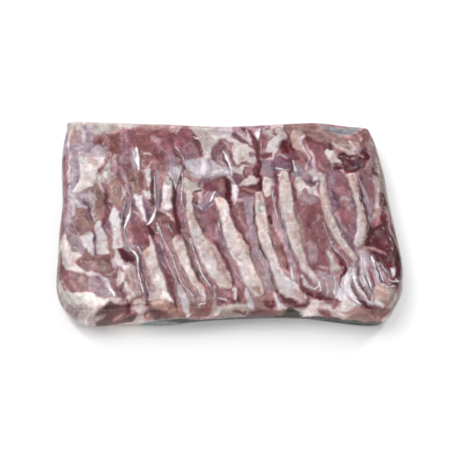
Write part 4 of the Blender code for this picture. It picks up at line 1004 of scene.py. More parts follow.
class Chart:
    """A sheet of values, one each millimetre, whose rows follow its second direction."""

    def __init__(self, low, columns, rows):
        self.low, self.shape = low, (rows, columns)
        self.x, self.y = np.meshgrid(
            low[0] + np.arange(columns, dtype=float), low[1] + np.arange(rows, dtype=float)
        )

    def grain(self, size, seed):
        """Smooth unevenness from -1 to 1, with bumps of that size in mm."""
        return self.streaks(size, size, seed)

    def streaks(self, size_x, size_y, seed, lean=0.0):
        """Unevenness stretched along one axis, which leans by that much X for each Y."""
        rough = np.random.default_rng(seed).uniform(-1, 1, (NOISE_TABLE, NOISE_TABLE))
        along = (self.x - self.low[0] - lean * (self.y - self.low[1])) / size_x + NOISE_START[0]
        across = (self.y - self.low[1]) / size_y + NOISE_START[1]
        i, j = np.floor(along).astype(int), np.floor(across).astype(int)
        s, t = along - i, across - j

        def cubic(u):
            return [(1 - u) ** 3, 3 * u**3 - 6 * u**2 + 4, -3 * u**3 + 3 * u**2 + 3 * u + 1, u**3]

        total = np.zeros(self.shape)
        for dj, by_row in enumerate(cubic(t)):
            for di, by_column in enumerate(cubic(s)):
                total += by_row * by_column * rough[(j + dj) % NOISE_TABLE, (i + di) % NOISE_TABLE]
        return NOISE_GAIN * total / 36  # each cubic's weights add up to 6

    def window(self, points, margin, drift):
        """The part of the chart round the points, and its x and y, shifted by the drift there."""
        low = np.maximum(np.floor(points[:, :2].min(0) - margin) - self.low, 0).astype(int)
        high = np.ceil(points[:, :2].max(0) + margin) - self.low
        high = np.minimum(high, (self.shape[1] - 1, self.shape[0] - 1)).astype(int)
        where = (slice(low[1], high[1] + 1), slice(low[0], high[0] + 1))
        x, y = self.x[where], self.y[where]
        if drift is not None:
            x, y = x + drift[0][where], y + drift[1][where]
        return where, x, y

    def depth(self, points, margin=8, drift=None):
        """How deep in a strip or an outline each place near it lies, and half its width, in mm."""
        if len(points[0]) == 3:
            line = smooth_line(points)
            where, x, y = self.window(line, margin + line[:, 2].max() / 2, drift)
            gap = np.hypot(x[..., None] - line[:, 0], y[..., None] - line[:, 1])
            depth = (line[:, 2] / 2 - gap).max(-1)
            return where, depth, np.maximum(line[gap.argmin(-1), 2] / 2, 0.5)
        ring = smooth_line(points, closed=True, steps=RING_STEPS)
        where, x, y = self.window(ring, margin, drift)
        gap = np.hypot(x[..., None] - ring[:, 0], y[..., None] - ring[:, 1]).min(-1)
        after = np.roll(ring, -1, 0)
        crosses = (ring[:, 1] > y[..., None]) != (after[:, 1] > y[..., None])
        rise = np.where(after[:, 1] == ring[:, 1], 1e-9, after[:, 1] - ring[:, 1])
        at = ring[:, 0] + (y[..., None] - ring[:, 1]) / rise * (after[:, 0] - ring[:, 0])
        inside = (crosses & (x[..., None] < at)).sum(-1) % 2 == 1
        return where, np.where(inside, gap, -gap), OUTLINE_HALF

    def read(self, values, x, y):
        """The values at places in mm, taken between the nearest four."""
        u = np.clip(x - self.low[0], 0, self.shape[1] - 1.001)
        v = np.clip(y - self.low[1], 0, self.shape[0] - 1.001)
        i, j = u.astype(int), v.astype(int)
        s, t = u - i, v - j
        if values.ndim == 3:
            s, t = s[:, None], t[:, None]
        low = values[j, i] * (1 - s) + values[j, i + 1] * s
        high = values[j + 1, i] * (1 - s) + values[j + 1, i + 1] * s
        return low * (1 - t) + high * t


def blurred(values, radius):
    """Evens out a chart over that many mm."""
    reach = np.arange(-int(3 * radius) - 1, int(3 * radius) + 2)
    weight = np.exp(-((reach / radius) ** 2) / 2)
    weight /= weight.sum()
    for axis in (0, 1):
        pad = [(0, 0), (0, 0)]
        pad[axis] = (len(reach) // 2,) * 2
        padded = np.pad(values, pad, mode="edge")
        size = values.shape[axis]
        values = sum(
            w * np.take(padded, np.arange(k, k + size), axis=axis) for k, w in enumerate(weight)
        )
    return values


def highest_near(values, radius):
    """The highest value within a disc round each place."""
    out = values.copy()
    span = int(radius)
    padded = np.pad(values, span, mode="edge")
    rows, columns = values.shape
    for dy in range(-span, span + 1):
        for dx in range(-span, span + 1):
            if dx * dx + dy * dy <= radius * radius:
                part = padded[span + dy: span + dy + rows, span + dx: span + dx + columns]
                out = np.maximum(out, part)
    return out


def stretched_over(values, radius):
    """A skin that rests on a relief and spans what is narrower than twice the radius."""
    return -highest_near(-highest_near(values, radius), radius)


# ---------------------------------------------------------------- painting the cut faces
FACE = Chart((-250, -176), 501, 353)  # the top: X and Y
RIM = Chart((-240, -8), 1580, 66)  # the sides: the way round from the front, and the height


def ground_of(chart, tissue):
    """A chart of colour, fattiness and boniness, all of one tissue."""
    colour, fatty, bony, _ = TISSUES[tissue]
    return np.zeros((*chart.shape, 5)) + np.array([*colour, fatty, bony], float)


def lay_tissues(chart, sheet, patches, seed):
    """Paints tissues over a sheet in their order. Gives how far they stand up, in mm."""
    relief = np.zeros(chart.shape)
    ragged = sum(
        deep * chart.grain(broad, seed + k) for k, (deep, broad) in enumerate(RAGGEDNESS)
    )
    drift = [
        1.8 * chart.grain(8, seed + k) + 1.3 * chart.streaks(2.6, 5, seed + k + 1) for k in (3, 5)
    ]
    shades = np.random.default_rng(seed).normal(0, SHADE_SPREAD, len(patches))
    for shade, (tissue, rise, points) in zip(shades, patches):
        colour, fatty, bony, soft = TISSUES[tissue]
        loose = BONE_LOOSENESS if bony == 1 else 1.0
        where, depth, half = chart.depth(points, drift=[loose * shift for shift in drift])
        torn = depth + loose * ragged[where] * np.clip(half / 4, 0.25, 1)
        blend = np.minimum(soft * (1.0 if rise else FLAT_SOFTNESS), 1.5 * half) / 2
        share = ease(torn, -blend, blend)[..., None]
        value = np.array([*(np.array(colour) * (1 + shade)), fatty, bony])
        sheet[where] += (value - sheet[where]) * share
        dome = np.clip(1 - (1 - np.clip(depth / half, 0, 1)) ** 2, 0, 1)
        relief[where] += rise * dome ** (0.4 if bony == 1 else 0.5)
    return relief


def shift_colour(sheet, factors, share):
    """Multiplies a sheet's red, green and blue by those factors where the share is full."""
    sheet[..., :3] *= 1 + (np.array(factors) - 1) * share[..., None]


def veins(noise_sheet, width):
    """Thin winding lines where unevenness crosses zero."""
    return np.clip(1 - abs(noise_sheet) / width, 0, 1)


def marble(chart, sheet, seed, lean=-0.35):
    """Strings of fat and dark clefts in the lean, and stains in the fat and on the bone."""
    meaty = 1 - sheet[..., 3]
    fatty = sheet[..., 3]

    def strands(size, width, at, patch, start):
        """Veins that lean with the grain, and come and go in patches."""
        shown = ease(chart.grain(patch, seed + at + 1), start, 0.5)
        return veins(chart.streaks(*size, seed + at, lean), width) * shown

    def clouds(size, at, start, end):
        """Soft blotches that lean with the grain."""
        return ease(chart.streaks(*size, seed + at, lean), start, end)

    strings = strands((5, 17), width=0.10, at=0, patch=13, start=0.0)
    strings += 0.8 * strands((3, 8), width=0.12, at=2, patch=9, start=0.1)
    clefts = strands((6, 22), width=0.09, at=4, patch=15, start=0.0)
    shift_colour(sheet, PALE_STRINGS, np.clip(strings, 0, 1) * meaty)
    shift_colour(sheet, DARK_CLEFTS, clefts * meaty)
    shift_colour(sheet, DEEP_CLOUDS, clouds((6, 10), at=6, start=0.15, end=0.75) * meaty)
    shift_colour(sheet, PALE_CLOUDS, clouds((7, 11), at=7, start=0.2, end=0.8) * meaty)
    shift_colour(sheet, FAT_STAINS, ease(chart.grain(4, seed + 8), 0.2, 0.7) * fatty)
    shift_colour(sheet, FAT_VEINS, veins(chart.grain(5, seed + 9), 0.1) * fatty * 0.6)
    shift_colour(sheet, FAT_CREAM, clouds((4, 9), at=10, start=0.2, end=0.8) * fatty)
    value = 0.05 * chart.grain(9, seed + 11) + (0.09 - 0.04 * fatty) * chart.grain(2.6, seed + 12)
    sheet[..., :3] *= 1 + value[..., None]


def side_ground():
    """The cut sides: rind, back fat, streaks of lean with fat between them, all round."""
    sheet = ground_of(RIM, "grey_fat")
    whole_way = 2 * (LENGTH + WIDTH) / MM
    turn = 2 * math.pi * RIM.x / whole_way
    wave = 2.2 * np.sin(5 * turn + 1) + 1.4 * np.sin(11 * turn + 4) + 0.8 * np.sin(26 * turn)
    level = RIM.y + wave + 0.8 * RIM.grain(9, 60)
    gaps = RIM.streaks(30, 14, 61)
    for tissue, low, high, least in SIDE_LAYERS:
        colour, fatty, bony, _ = TISSUES[tissue]
        share = ease(level, low - 1, low + 1) * (1 - ease(level, high - 1, high + 1))
        share *= ease(gaps, least - 0.15, least + 0.15)
        value = np.array([*colour, fatty, bony])
        sheet += (value - sheet) * share[..., None]
    return sheet


def lay_veils(chart, veils, seed):
    """What the film shows over the meat, with painted sheen, highlights and shade: its colour and,
    last, how much of it shows.
    """
    sheet = np.zeros((*chart.shape, 4)) + np.array([*FILM_TONES["milk"][0], 0.004])
    ragged = 2.0 * chart.grain(8, seed) + 1.2 * chart.grain(3.0, seed + 1)
    for tone_name, share, points in veils:
        colour, soft = FILM_TONES[tone_name]
        where, depth, _ = chart.depth(points, margin=12)
        cover = ease(depth + ragged[where] * max(0.5, min(1, soft / 5)), -soft, soft)[..., None]
        sheet[where] += (np.array([*colour, share]) - sheet[where]) * cover
    return sheet


def glints_on_folds(sheet):
    """Painted highlights, with the whitened film, along the folds' crests, brighter and dimmer along
    their way.
    """
    wisps = FACE.grain(11, 71) + 0.6 * FACE.grain(5, 72)
    for height, width, line in FOLDS:
        where, depth, _ = FACE.depth([(*spot, 0.55 * width) for spot in line], margin=3)
        share = ease(depth, -0.9, 0.6) * np.clip(0.34 + 0.15 * height + 0.4 * wisps[where], 0, 0.8)
        value = np.array([*FILM_TONES["glint"][0], 1.0])
        sheet[where] += (value - sheet[where]) * share[..., None]


def shade_beside_folds(sheet):
    """The darker lines along the feet of the film's folds."""
    for _, width, line in FOLDS:
        where, depth, _ = FACE.depth([(*spot, 1.3 * width) for spot in line])
        dark = ease(depth, -1.6, 0.6) * 0.24
        sheet[where][..., :3] *= 1 - dark[..., None] * np.array(FOOT_SHADE)


def shade_hollows(sheet, meat_relief):
    """Darkens the meat where it lies lower than what is round it."""
    sunken = np.clip((blurred(meat_relief, 4) - meat_relief) / 1.5, 0, 1.2)
    sheet[..., :3] *= 1 - 0.28 * sunken[..., None] * np.array(HOLLOW_SHADE)


# ---------------------------------------------------------------- the slab's form
def outline_ring():
    """The widest outline, in metres, at its full length and width."""
    ring = smooth_line(OUTLINE, closed=True) * MM
    return ring * np.array([LENGTH, WIDTH]) / (ring.max(0) - ring.min(0))


RING = outline_ring()
MIDDLE = (RING.max(0) + RING.min(0)) / 2  # the form is set back by this, so the origin is central


def meat_heights(lumps):
    """How high the top of the meat stands, in mm: broad swells, its lumps and small unevenness."""
    x, y = FACE.x + MIDDLE[0] / MM, FACE.y + MIDDLE[1] / MM
    broad = np.zeros_like(x)
    for cx, cy, rx, ry, lift in SWELLS.values():
        broad += lift * np.exp(-((x - cx) / rx) ** 2 - ((y - cy) / ry) ** 2)
    small = 0.25 * FACE.grain(5, 21) + 0.5 * FACE.grain(14, 22)
    return broad + lumps + small


def film_heights(meat_relief):
    """How high the film stands, in mm: taut over the meat, and drawn up along its folds."""
    ridges = np.zeros(FACE.shape)
    for height, width, line in FOLDS:
        where, depth, _ = FACE.depth([(*spot, 2 * width) for spot in line])
        ridges[where] = np.maximum(ridges[where], 0.7 * height * ease(depth, -1, width))
    taut = blurred(stretched_over(blurred(meat_relief, 0.8), FILM_SPAN), 0.8)
    return taut + FILM_GAP + blurred(ridges, 0.7)


def outline_radius(angle):
    """How far the widest outline lies from the middle, in each direction."""
    around = np.arctan2(RING[:, 1], RING[:, 0])
    order = np.argsort(around)
    return np.interp(angle, around[order], np.hypot(*RING[order].T), period=2 * np.pi)


def uneven(points, size, seed):
    """Smooth unevenness from -1 to 1 in space, with bumps of that size."""
    shift = Vector((seed, 2.3 * seed, -seed))
    return np.array([noise.noise(Vector(p) / size + shift) for p in points])


def shoulder_at(x, y):
    """How far in the rounding of the top edge runs: furthest at the sloping front left corner."""
    away = np.hypot(x - CORNER_CENTRE[0], y - CORNER_CENTRE[1]) / CORNER_REACH
    return SHOULDER_IN + CORNER_SLOPE * np.exp(-away**2)


def heel_at(x, y):
    """How far the base is set back under the widest level, apart from the straight skirts."""
    on_skirt = np.zeros_like(x)
    for start, end in SKIRTS:
        on_skirt += np.exp(-(((2 * x - start - end) / (end - start)) ** 4)) * (y < 0)
    return HEEL_IN + (SKIRT_HEEL - HEEL_IN) * on_skirt


def round_edge(inset, depth, reach, rise):
    """Puts points near a sharp edge onto an ellipse. Both distances are zero at the edge."""
    inward = np.clip((reach - inset) / reach, 0, 1)
    outward = np.clip((rise - depth) / rise, 0, 1)
    near = (inward > 0) & (outward > 0)
    size = np.where(near, np.hypot(inward, outward), 1)
    round_inset = np.where(near, reach * (1 - inward / size), inset)
    round_depth = np.where(near, rise * (1 - outward / size), depth)
    return round_inset, round_depth


def slab_form(block, relief, side_relief=None):
    """Turns points on a plain block into points on the slab, with charts of relief in mm."""
    x, y = block[:, 0] * LENGTH / 2, block[:, 1] * WIDTH / 2
    square = np.maximum(abs(block[:, 0]), abs(block[:, 1]))
    angle = np.arctan2(y, x)
    to_block_side = np.hypot(x, y) / np.maximum(square, 1e-9)
    to_outline = outline_radius(angle)
    pull = 1 + (to_outline / to_block_side - 1) * square**3
    x, y = x * pull, y * pull
    inset = (1 - square) * to_outline
    z = block[:, 2] * THICKNESS
    new_inset, below_top = round_edge(inset, THICKNESS - z, shoulder_at(x, y), SHOULDER_DOWN)
    new_inset, z = round_edge(new_inset, THICKNESS - below_top, heel_at(x, y), HEEL_UP)
    keep = 1 - (new_inset - inset) / np.maximum(to_outline, 1e-9)
    x, y = x * keep, y * keep
    share = z / THICKNESS
    place = np.column_stack([x, y, z])
    lift = FACE.read(relief, (x - MIDDLE[0]) / MM, (y - MIDDLE[1]) / MM) * MM
    lift += sum(height * uneven(place, size, seed) for height, size, seed in TOP_WAVES)
    height, size, seed = SIDE_WAVE
    bulge = height * uneven(place, size, seed) * np.clip(4 * share * (1 - share), 0, 1) * square**6
    if side_relief is not None:
        outward = RIM.read(side_relief, way_round(block), z / MM) * MM
        from_base, to_shoulder = ease(share, 0.02, 0.2), 1 - ease(share, 0.7, 0.9)
        bulge += (outward - SIDE_SET_BACK) * from_base * to_shoulder * square**20
    z = z + lift * share**1.5
    away = np.maximum(np.hypot(x, y), 1e-9)
    x, y = x * (1 + bulge / away), y * (1 + bulge / away)
    return np.column_stack([x - MIDDLE[0], y - MIDDLE[1], z])


def way_round(block):
    """The distance round the slab from the middle of its front, to the right, in mm."""
    half_length, half_width = LENGTH / 2 / MM, WIDTH / 2 / MM
    x, y = block[:, 0], block[:, 1]
    size = np.maximum(np.maximum(abs(x), abs(y)), 1e-9)
    x, y = x / size, y / size
    right = half_length + (y + 1) * half_width
    back = half_length + 2 * half_width + (1 - x) * half_length
    left = 3 * half_length + 2 * half_width + (1 - y) * half_width
    return np.select([y <= -0.9999, x >= 0.9999, y >= 0.9999], [x * half_length, right, back], left)


def block_shell():
    """An even grid over a block's top, carried down its sides and closed below."""
    bm = bmesh.new()
    across, along = round(LENGTH / CELL), round(WIDTH / CELL)
    bmesh.ops.create_grid(bm, x_segments=across, y_segments=along, size=1)
    for vertex in bm.verts:
        vertex.co.z = 1
    rim = [e for e in bm.edges if e.is_boundary]
    levels = [(1.0, 1 - (row + 1) / SIDE_ROWS) for row in range(SIDE_ROWS)]
    levels += [(size, 0.0) for size in BASE_RINGS]
    width = 1.0
    for size, height in levels:
        made = bmesh.ops.extrude_edge_only(bm, edges=rim)["geom"]
        for vertex in made:
            if isinstance(vertex, bmesh.types.BMVert):
                vertex.co.x *= size / width
                vertex.co.y *= size / width
                vertex.co.z = height
        width = size
        rim = [e for e in made if isinstance(e, bmesh.types.BMEdge)]
    bmesh.ops.contextual_create(bm, geom=rim)
    bmesh.ops.recalc_face_normals(bm, faces=bm.faces[:])
    return bm


# ---------------------------------------------------------------- materials
class Flow:
    """One output of a node. Arithmetic on it adds Math nodes."""

    def __init__(self, recipe, socket):
        self.recipe, self.socket = recipe, socket

    def maths(self, operation, *others):
        """A Math node on this value and the others."""
        inputs = dict(enumerate((self, *others)))
        return self.recipe.node("ShaderNodeMath", {"operation": operation}, inputs)

    def __add__(self, other):
        return self.maths("ADD", other)

    def __sub__(self, other):
        return self.maths("SUBTRACT", other)

    def __mul__(self, other):
        return self.maths("MULTIPLY", other)

    def __rsub__(self, other):
        return self.recipe.node("ShaderNodeMath", {"operation": "SUBTRACT"}, {0: other, 1: self})

    __radd__ = __add__
    __rmul__ = __mul__

    def ramp(self, start, end, low=0.0, high=1.0):
        """Runs smoothly from low at start to high at end."""
        return self.recipe.node(
            "ShaderNodeMapRange", {"interpolation_type": "SMOOTHSTEP"},
            {"Value": self, "From Min": start, "From Max": end, "To Min": low, "To Max": high},
        )

    def near_zero(self, steepness):
        """Runs from 1 where this is 0 down to less than 0 on both sides."""
        return 1 - (self * steepness).maths("ABSOLUTE")

    def blend(self, first, second):
        """The first colour where this is 0, the second where it is 1."""
        return self.recipe.node(
            "ShaderNodeMix", {"data_type": "RGBA"}, {0: self, 6: first, 7: second}, output=2
        )


class Recipe:
    """A node tree, and the one way in which nodes are added to it."""

    def __init__(self, tree):
        self.tree = tree
        self.tree.nodes.clear()

    def node(self, kind, settings=None, sockets=None, output=0):
        """Adds a node: its settings first, then the values or links of its sockets."""
        made = self.tree.nodes.new(kind)
        for name, value in (settings or {}).items():
            setattr(made, name, value)
        for key, value in (sockets or {}).items():
            if isinstance(value, Flow):
                self.tree.links.new(value.socket, made.inputs[key])
            else:
                made.inputs[key].default_value = value
        return Flow(self, made.outputs[output]) if len(made.outputs) else made


class Finish(Recipe):
    """The nodes of one material."""

    def __init__(self, name):
        self.material = bpy.data.materials.new(name)
        self.material.use_nodes = True
        super().__init__(self.material.node_tree)

    def trait(self, name):
        """A named value painted on the piece."""
        return self.node("ShaderNodeAttribute", {"attribute_name": name}, output=2)

    def colour(self, name):
        """A named colour painted on the piece."""
        return self.node("ShaderNodeAttribute", {"attribute_name": name})

    def place(self, stretch=(1, 1, 1), turn=0.0, shift=(0, 0, 0)):
        """Object coordinates for a pattern that is turned about Z and stretched."""
        spot = self.node("ShaderNodeTexCoord", output=3)
        return self.node(
            "ShaderNodeMapping", {"vector_type": "TEXTURE"},
            {"Vector": spot, "Location": shift, "Rotation": (0, 0, turn), "Scale": stretch},
        )

    def mottle(self, place, scale, detail=3.0, roughness=0.55):
        """Cloudy noise from about 0.2 to 0.8."""
        return self.node(
            "ShaderNodeTexNoise", None,
            {"Vector": place, "Scale": scale, "Detail": detail, "Roughness": roughness},
        )

    def scaled(self, colour, factor):
        """A colour made lighter or darker by a factor."""
        return self.node("ShaderNodeVectorMath", {"operation": "SCALE"},
                         {"Vector": colour, "Scale": factor})

    def bumps(self, height, strength, distance):
        """The surface's direction over small bumps of that height."""
        return self.node("ShaderNodeBump", None,
                         {"Strength": strength, "Distance": distance, "Height": height})

    def shine(self, sockets):
        """A plain surface shader with those sockets."""
        return self.node("ShaderNodeBsdfPrincipled", None, sockets)

    def done(self, surface):
        """Ends the nodes with their surface and gives the material."""
        self.node("ShaderNodeOutputMaterial", None, {"Surface": surface})
        return self.material


def as_light(display):
    """Colours from 0 to 255 as they look on a screen, as the light they stand for."""
    share = np.clip(np.asarray(display, float) / 255, 0, 1)
    return np.where(share <= 0.04045, share / 12.92, ((share + 0.055) / 1.055) ** 2.4)


def tone(red, green, blue):
    """A colour given as it looks on a screen, for a socket."""
    return (*as_light((red, green, blue)), 1.0)


def meat_finish():
    """Frozen lean, fat and bone: the painted colour with fibres, flecks, stains and frost."""
    mix = Finish("frozen_pork")
    place = mix.place()
    grain_place = mix.place((1.0, 4.0, 1.0), FIBRE_TURN)
    fat = mix.trait("fat")
    bone = mix.trait("bone")
    clouds = mix.mottle(place, scale=75, detail=4, roughness=0.6)
    fine = mix.mottle(place, scale=340, roughness=0.6)
    fibres = mix.mottle(grain_place, scale=620, detail=2)
    blots = mix.mottle(mix.place(shift=(3, 1, 2)), scale=190, detail=4, roughness=0.65)
    flecks = mix.mottle(place, scale=300)

    colour = mix.scaled(mix.colour("tint"), 1 + (clouds - 0.5) * 0.45 + (fine - 0.5) * 0.7)
    pale_fibres = ((fibres - 0.5) * 2.2).ramp(0.0, 1.0, 0.0, 0.55)
    colour = pale_fibres.blend(colour, mix.scaled(colour, 1.45))
    strings = (blots - 0.5).near_zero(14).ramp(0, 1) * (1 - fat) * clouds.ramp(0.45, 0.6)
    colour = (strings * 0.32).blend(colour, mix.scaled(colour, 1.7))
    colour = (blots.ramp(0.54, 0.68) * fat * 0.22).blend(colour, tone(*FAT_STAIN_TONE))
    colour = (blots.ramp(0.48, 0.34) * fat * 0.30).blend(colour, tone(*FROST_TONE))
    colour = (flecks.ramp(0.58, 0.70) * bone * 0.30).blend(colour, tone(*BONE_FLECK_TONE))
    grain = fibres * 0.5 + fine * 0.6 + mix.mottle(place, scale=900, detail=2) * 0.3
    return mix.done(mix.shine({
        "Base Color": colour, "Roughness": 0.42 + fine * 0.2,
        "Normal": mix.bumps(grain, strength=0.5, distance=0.0005), "Specular IOR Level": 0.08,
    }))


def film_finish(name, clear_share, gloss_roughness, unevenness):
    """Clear bag film: mirror-like where lit at a slant, and showing its veil colour, milky and with
    painted light and shade, where the painted trait is high.
    """
    mix = Finish(name)
    along = mix.place((1.0, 3.2, 1.0), FIBRE_TURN)
    aslant = mix.place((1.0, 2.5, 1.0), CREASE_TURN)
    twist = mix.mottle(mix.place(), scale=55, detail=2)
    ripples = mix.mottle(along, scale=75, roughness=0.5)
    ridges = (mix.mottle(along, scale=95, detail=2, roughness=0.5) - 0.5).near_zero(9)
    ridges = ridges.ramp(0, 1) * twist.ramp(0.48, 0.62)
    creases = (mix.mottle(aslant, scale=80, detail=2) - 0.5).near_zero(10)
    creases = creases.ramp(0, 1) * twist.ramp(0.5, 0.38)
    rough = ripples * 1.6 + ridges * 0.55 + creases * 0.45
    normal = mix.bumps(rough, strength=1.0, distance=unevenness)
    clear = mix.node("ShaderNodeBsdfTransparent", None, {"Color": (clear_share,) * 3 + (1,)})
    gloss = mix.shine({
        "Base Color": (1, 1, 1, 1), "Metallic": 1.0, "Roughness": gloss_roughness, "Normal": normal,
    })
    # The veil colour: the film's milkiness, with the painted sheen, highlights and shade laid in it.
    milk = mix.shine({
        "Base Color": mix.colour("veil"), "Roughness": gloss_roughness, "Normal": normal,
        "Specular IOR Level": 0.6,
    })
    slant = mix.node("ShaderNodeFresnel", None, {"IOR": 1.33, "Normal": normal})
    skin = mix.node("ShaderNodeMixShader", None, {0: slant, 1: clear, 2: gloss})
    wisps = mix.mottle(along, scale=130, detail=4, roughness=0.6).ramp(0.3, 0.7, 0.55, 1.35)
    haze = (mix.trait("haze") * wisps).maths("MINIMUM", 1.0)
    return mix.done(mix.node("ShaderNodeMixShader", None, {0: haze, 1: skin, 2: milk}))


# ---------------------------------------------------------------- pieces
def new_piece(name, mesh, material=None):
    """A mesh as an object of the scene, with the material unless the mesh already has one."""
    piece = bpy.data.objects.new(name, mesh)
    bpy.context.scene.collection.objects.link(piece)
    if material:
        mesh.materials.append(material)
    return piece


def give_trait(mesh, name, values):
    """Paints a value on the points."""
    mesh.attributes.new(name, "FLOAT", "POINT").data.foreach_set("value", values.astype(np.float32))


def give_colour(mesh, name, display):
    """Paints a colour on the points, given as it looks on a screen."""
    colours = np.ones((len(mesh.vertices), 4), np.float32)
    colours[:, :3] = as_light(display)
    data = mesh.attributes.new(name, "FLOAT_COLOR", "POINT").data
    data.foreach_set("color", colours.ravel())


def shell_mesh(name, relief, side_relief, inset, lowest):
    """The slab's skin as a mesh, set in by a little, and where each of its points lies round it."""
    bm = block_shell()
    block = np.array([v.co for v in bm.verts])
    place = slab_form(block, relief, side_relief)
    for vertex, point in zip(bm.verts, place):
        vertex.co = point
    if inset:
        bm.normal_update()
        place = place - np.array([v.normal for v in bm.verts]) * inset
    place[:, 2] = np.maximum(place[:, 2], lowest)
    for vertex, point in zip(bm.verts, place):
        vertex.co = point
    mesh = bpy.data.meshes.new(name)
    bm.to_mesh(mesh)
    bm.free()
    mesh.shade_smooth()
    return mesh, place / MM, way_round(block)


def blend_charts(face_sheet, rim_sheet, place, around):
    """Reads the top's chart on the top and the sides' chart below the rounding of the edge."""
    on_side = (1 - ease(place[:, 2], *EDGE_BLEND))[:, None]
    top = FACE.read(face_sheet, place[:, 0], place[:, 1])
    side = RIM.read(rim_sheet, around, place[:, 2])
    return top * (1 - on_side) + side * on_side


def make_meat(face_sheet, rim_sheet, relief, side_relief):
    """The slab of meat under the film, with rind on its underside."""
    mesh, place, around = shell_mesh("belly_meat", relief, side_relief, MEAT_INSET, BASE_FILM)
    values = blend_charts(face_sheet, rim_sheet, place, around)
    below = (1 - ease(place[:, 2], *RIND_BLEND))[:, None]
    colour, fatty, bony, _ = TISSUES["rind"]
    values += (np.array([*colour, fatty, bony]) - values) * below
    give_colour(mesh, "tint", values[:, :3])
    give_trait(mesh, "fat", values[:, 3])
    give_trait(mesh, "bone", values[:, 4])
    return new_piece("belly_meat", mesh, meat_finish())


def make_film(face_veils, rim_veils, relief, side_relief):
    """The clear bag, shrunk onto the meat."""
    mesh, place, around = shell_mesh("vacuum_film", relief, side_relief, 0, 0)
    values = blend_charts(face_veils, rim_veils, place, around)
    give_colour(mesh, "veil", values[:, :3])
    give_trait(mesh, "haze", values[:, 3])
    finish = film_finish("clear_film", clear_share=0.98, gloss_roughness=0.18, unevenness=0.0007)
    return new_piece("vacuum_film", mesh, finish)


def fold_tree(material):
    """Geometry Nodes that raise a narrow, tapering fold of film along each line."""
    group = bpy.data.node_groups.new("film_folds", "GeometryNodeTree")
    face = group.interface
    face.new_socket("Geometry", in_out="INPUT", socket_type="NodeSocketGeometry")
    kinds = {"Step": "NodeSocketFloat", "Height": "NodeSocketFloat", "Sides": "NodeSocketInt"}
    names = {
        name: face.new_socket(name, in_out="INPUT", socket_type=kind).identifier
        for name, kind in kinds.items()
    }
    face.new_socket("Geometry", in_out="OUTPUT", socket_type="NodeSocketGeometry")

    mix = Recipe(group)
    lines, step, height, sides = (
        mix.node("NodeGroupInput", output=name) for name in ("Geometry", *kinds)
    )
    even = mix.node("GeometryNodeResampleCurve", {"mode": "LENGTH"}, {"Curve": lines, "Length": step})
    upright = mix.node("GeometryNodeSetCurveNormal", {"mode": "Z_UP"}, {"Curve": even})
    arc = mix.node("GeometryNodeCurveArc", {"mode": "RADIUS"},
                   {"Resolution": sides, "Radius": 0.5, "Sweep Angle": math.pi})
    stretch = mix.node("ShaderNodeCombineXYZ", None, {"X": 1.0, "Y": height, "Z": 1.0})
    profile = mix.node("GeometryNodeTransform", None, {"Geometry": arc, "Scale": stretch})
    width = mix.node("GeometryNodeInputRadius")
    swept = mix.node("GeometryNodeCurveToMesh", None,
                     {"Curve": upright, "Profile Curve": profile, "Scale": width})
    real = mix.node("GeometryNodeRealizeInstances", None, {"Geometry": swept})
    smooth = mix.node("GeometryNodeSetShadeSmooth", None, {"Geometry": real})
    dressed = mix.node("GeometryNodeSetMaterial", None, {"Geometry": smooth, "Material": material})
    mix.node("NodeGroupOutput", None, {0: dressed})
    return group, names


def fold_curve(relief):
    """The folds' crests on the film as one curve, whose radius gives each fold's size."""
    curve = bpy.data.curves.new("fold_lines", "CURVE")
    curve.dimensions = "3D"
    rng = np.random.default_rng(5)
    for height, width, points in FOLDS:
        line = smooth_line(points, steps=6) * MM
        block = np.column_stack([2 * (line + MIDDLE) / (LENGTH, WIDTH), np.ones(len(line))])
        z = slab_form(block, relief)[:, 2] - FOLD_SUNK
        spline = curve.splines.new("POLY")
        spline.points.add(len(line) - 1)
        run = np.linspace(0, 1, len(line))
        taper = np.clip(np.minimum(run, 1 - run) * 4, 0.12, 1) ** 0.7
        pinch = 1 + 0.35 * np.sin(rng.uniform(5, 14) * run + rng.uniform(0, 6))
        for point, (x, y), z_there, size in zip(spline.points, line, z, taper * pinch):
            point.co = (x, y, z_there, 1)
            point.radius = size * width * height * FOLD_FULLNESS * MM
    return curve


def make_folds(relief):
    """The folds of spare film that stand up from the pack, in one mesh."""
    guide = new_piece("fold_lines", fold_curve(relief))
    finish = film_finish("folded_film", clear_share=0.96, gloss_roughness=0.08, unevenness=0.0002)
    tree, names = fold_tree(finish)
    modifier = guide.modifiers.new("folds", "NODES")
    modifier.node_group = tree
    for name, value in FOLD_SIZES.items():
        modifier[names[name]] = value
    graph = bpy.context.evaluated_depsgraph_get()
    mesh = bpy.data.meshes.new_from_object(guide.evaluated_get(graph))
    bpy.data.objects.remove(guide)
    mesh.name = "film_folds"
    place = np.array([v.co for v in mesh.vertices])
    # Milky white that also stands for painted highlights, brighter and dimmer along the folds.
    give_colour(mesh, "veil", np.zeros((len(place), 3)) + FOLD_TONE)
    give_trait(mesh, "haze", np.clip(0.62 + 1.1 * uneven(place, 0.012, 7.0), 0.10, 0.97))
    return new_piece("film_folds", mesh)


# ---------------------------------------------------------------- studio
def area_light(name, place, size, power):
    """A rectangle of plain light, turned towards the pack."""
    lamp = bpy.data.lights.new(name, "AREA")
    lamp.shape = "RECTANGLE"
    lamp.size, lamp.size_y = size
    lamp.energy = power
    light = bpy.data.objects.new(name, lamp)
    light.location = place
    towards = Vector(LIGHT_TARGET) - Vector(place)
    light.rotation_euler = towards.to_track_quat("-Z", "Y").to_euler()
    bpy.context.scene.collection.objects.link(light)


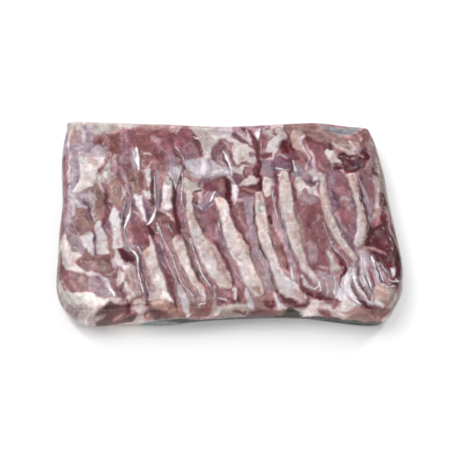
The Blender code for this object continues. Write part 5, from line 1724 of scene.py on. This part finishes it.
def set_studio():
    """Pale floor, soft light from all round, and strips whose reflections draw the film's folds."""
    world = bpy.data.worlds.new("studio")
    world.use_nodes = True
    background = world.node_tree.nodes["Background"]
    background.inputs["Color"].default_value = (1.0, 1.0, 1.0, 1)
    background.inputs["Strength"].default_value = 0.50
    bpy.context.scene.world = world
    bpy.context.scene.view_settings.view_transform = "Standard"
    for lamp in LAMPS:
        area_light(*lamp)
    mesh = bpy.data.meshes.new("floor")
    corners = [(x * FLOOR_REACH, y * FLOOR_REACH, 0) for x, y in ((-1, -1), (1, -1), (1, 1), (-1, 1))]
    mesh.from_pydata(corners, [], [(0, 1, 2, 3)])
    paint = Finish("pale_floor")
    surface = paint.shine({"Base Color": (0.9, 0.9, 0.9, 1), "Roughness": 0.9})
    floor = new_piece("floor", mesh, paint.done(surface))
    floor.location.z = -FLOOR_DROP


def set_camera():
    """A long lens, looking down on the pack from the front."""
    lens = bpy.data.cameras.new("view")
    lens.lens = CAMERA_LENS
    lens.sensor_width = 36
    camera = bpy.data.objects.new("view", lens)
    towards = Vector((0, -math.cos(CAMERA_HEIGHT), math.sin(CAMERA_HEIGHT)))
    camera.location = Vector(CAMERA_TARGET) + CAMERA_DISTANCE * towards
    camera.rotation_euler = (-towards).to_track_quat("-Z", "Y").to_euler()
    bpy.context.scene.collection.objects.link(camera)
    bpy.context.scene.camera = camera


# ---------------------------------------------------------------- making the pack
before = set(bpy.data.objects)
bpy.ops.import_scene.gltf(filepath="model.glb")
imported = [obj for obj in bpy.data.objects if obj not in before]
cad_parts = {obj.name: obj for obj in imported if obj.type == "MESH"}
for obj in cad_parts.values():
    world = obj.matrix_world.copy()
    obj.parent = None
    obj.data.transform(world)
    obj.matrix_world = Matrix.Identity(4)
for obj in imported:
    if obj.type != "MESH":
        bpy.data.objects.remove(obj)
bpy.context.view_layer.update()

face_sheet = ground_of(FACE, "lean")
lumps = lay_tissues(FACE, face_sheet, patches_of(TOP_LAYOUT), seed=1)
marble(FACE, face_sheet, seed=100)
meat_relief = meat_heights(lumps)
film_relief = film_heights(meat_relief)
shade_hollows(face_sheet, meat_relief)
shade_beside_folds(face_sheet)

rim_sheet = side_ground()
side_lumps = lay_tissues(RIM, rim_sheet, patches_of(SIDE_LAYOUT), seed=40)
marble(RIM, rim_sheet, seed=140, lean=0.0)
side_relief = blurred(side_lumps, 1.0)

face_veils = lay_veils(FACE, veils_of(TOP_VEILS), seed=31)
glints_on_folds(face_veils)
face_veils[..., 3] += 0.03 * ease(film_relief - meat_relief, 0.8, 3.0)
rim_veils = lay_veils(RIM, veils_of(SIDE_VEILS), seed=33)

meat = make_meat(face_sheet, rim_sheet, meat_relief, side_relief)
film = make_film(face_veils, rim_veils, film_relief, side_relief)
folds = make_folds(film_relief)

for piece in (meat, film, folds):
    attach(piece, "root")
    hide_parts("belly_pack")

set_studio()
set_camera()
